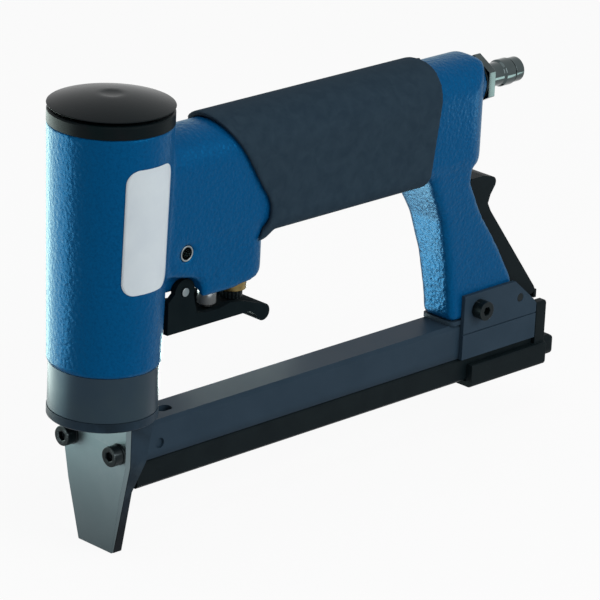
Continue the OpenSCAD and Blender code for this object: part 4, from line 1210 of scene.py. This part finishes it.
def floor_material():
    """Pale matte floor that shows nearly white, keeps the shadow and is clear from below."""
    settings = studio()
    material = bpy.data.materials.new("studio_floor")
    material.use_nodes = True
    tree = material.node_tree
    tree.nodes.remove(tree.nodes["Principled BSDF"])
    matte = tree.nodes.new("ShaderNodeBsdfDiffuse")
    matte.inputs["Color"].default_value = opaque(settings.floor)
    white = tree.nodes.new("ShaderNodeEmission")
    share = tree.nodes.new("ShaderNodeMath")
    share.operation = "MULTIPLY"
    share.inputs[1].default_value = settings.floor_glow
    mix = tree.nodes.new("ShaderNodeMixShader")
    tree.links.new(seen_directly(tree), share.inputs[0])
    tree.links.new(share.outputs["Value"], mix.inputs["Fac"])
    tree.links.new(matte.outputs["BSDF"], mix.inputs[1])
    tree.links.new(white.outputs["Emission"], mix.inputs[2])
    clear = tree.nodes.new("ShaderNodeBsdfTransparent")
    side = tree.nodes.new("ShaderNodeNewGeometry")
    sided = tree.nodes.new("ShaderNodeMixShader")
    tree.links.new(side.outputs["Backfacing"], sided.inputs["Fac"])
    tree.links.new(mix.outputs["Shader"], sided.inputs[1])
    tree.links.new(clear.outputs["BSDF"], sided.inputs[2])
    tree.links.new(sided.outputs["Shader"], tree.nodes["Material Output"].inputs["Surface"])
    return material


FLOOR_HALF = 6.0
FLOOR_GAP = 0.05 * MM
FLOOR_CORNERS = ((-1, -1), (1, -1), (1, 1), (-1, 1))


def set_floor(context):
    """A broad floor at the level of the nose's foot."""
    mesh = bpy.data.meshes.new("studio_floor")
    level = CAD_BOX[0].z - FLOOR_GAP
    corners = [(x * FLOOR_HALF, y * FLOOR_HALF, level) for x, y in FLOOR_CORNERS]
    mesh.from_pydata(corners, [], [(0, 1, 2, 3)])
    mesh.materials.append(floor_material())
    floor = bpy.data.objects.new("studio_floor", mesh)
    context.scene.collection.objects.link(floor)


class STAPLER_OT_stage(bpy.types.Operator):
    """Sets the camera, the lamps, the even light and the pale floor"""

    bl_idname = "stapler.stage"
    bl_label = "Studio"

    def execute(self, context):
        context.scene.view_settings.view_transform = "Standard"
        set_camera(context)
        set_world(context)
        set_floor(context)
        for pane in PANES:
            gloss_pane(context, *pane)
        for name, place, aim, size, power in LAMPS:
            soft_lamp(context, name, place, aim, size, getattr(studio(), power))
        return {"FINISHED"}


class STAPLER_PT_finish(bpy.types.Panel):
    """Lists the pieces and their settings"""

    bl_idname = "STAPLER_PT_finish"
    bl_label = "Stapler Finish"
    bl_space_type = "VIEW_3D"
    bl_region_type = "UI"
    bl_category = "Stapler"

    def draw(self, context):
        for operator in OPERATORS:
            self.layout.operator(operator.bl_idname)
        for place, group in GROUPS:
            box = self.layout.box()
            for setting in group.__annotations__:
                box.prop(getattr(context.scene, place), setting)


OPERATORS = (
    STAPLER_OT_stage,
    STAPLER_OT_housing,
    STAPLER_OT_grip,
    STAPLER_OT_label,
    STAPLER_OT_cap,
    STAPLER_OT_drive,
    STAPLER_OT_nose,
    STAPLER_OT_magazine,
    STAPLER_OT_bracket,
    STAPLER_OT_trigger,
    STAPLER_OT_plug,
    STAPLER_OT_springs,
)
GROUPS = (
    ("stapler_shape", StaplerShape),
    ("stapler_colours", StaplerColours),
    ("stapler_studio", StaplerStudio),
)


def register():
    """Registers the settings, the operators and the panel."""
    for name, group in GROUPS:
        bpy.utils.register_class(group)
        setattr(bpy.types.Scene, name, bpy.props.PointerProperty(type=group))
    for operator in OPERATORS:
        bpy.utils.register_class(operator)
    bpy.utils.register_class(STAPLER_PT_finish)


def unregister():
    """Takes back what register added."""
    bpy.utils.unregister_class(STAPLER_PT_finish)
    for operator in reversed(OPERATORS):
        bpy.utils.unregister_class(operator)
    for name, group in reversed(GROUPS):
        delattr(bpy.types.Scene, name)
        bpy.utils.unregister_class(group)


def main():
    """Makes every piece in order."""
    register()
    bpy.ops.stapler.stage()
    bpy.ops.stapler.housing()
    bpy.ops.stapler.grip()
    bpy.ops.stapler.label()
    bpy.ops.stapler.cap()
    bpy.ops.stapler.drive()
    bpy.ops.stapler.nose()
    bpy.ops.stapler.magazine()
    bpy.ops.stapler.bracket()
    bpy.ops.stapler.trigger()
    bpy.ops.stapler.plug()
    bpy.ops.stapler.springs()


if __name__ == "__main__":
    main()
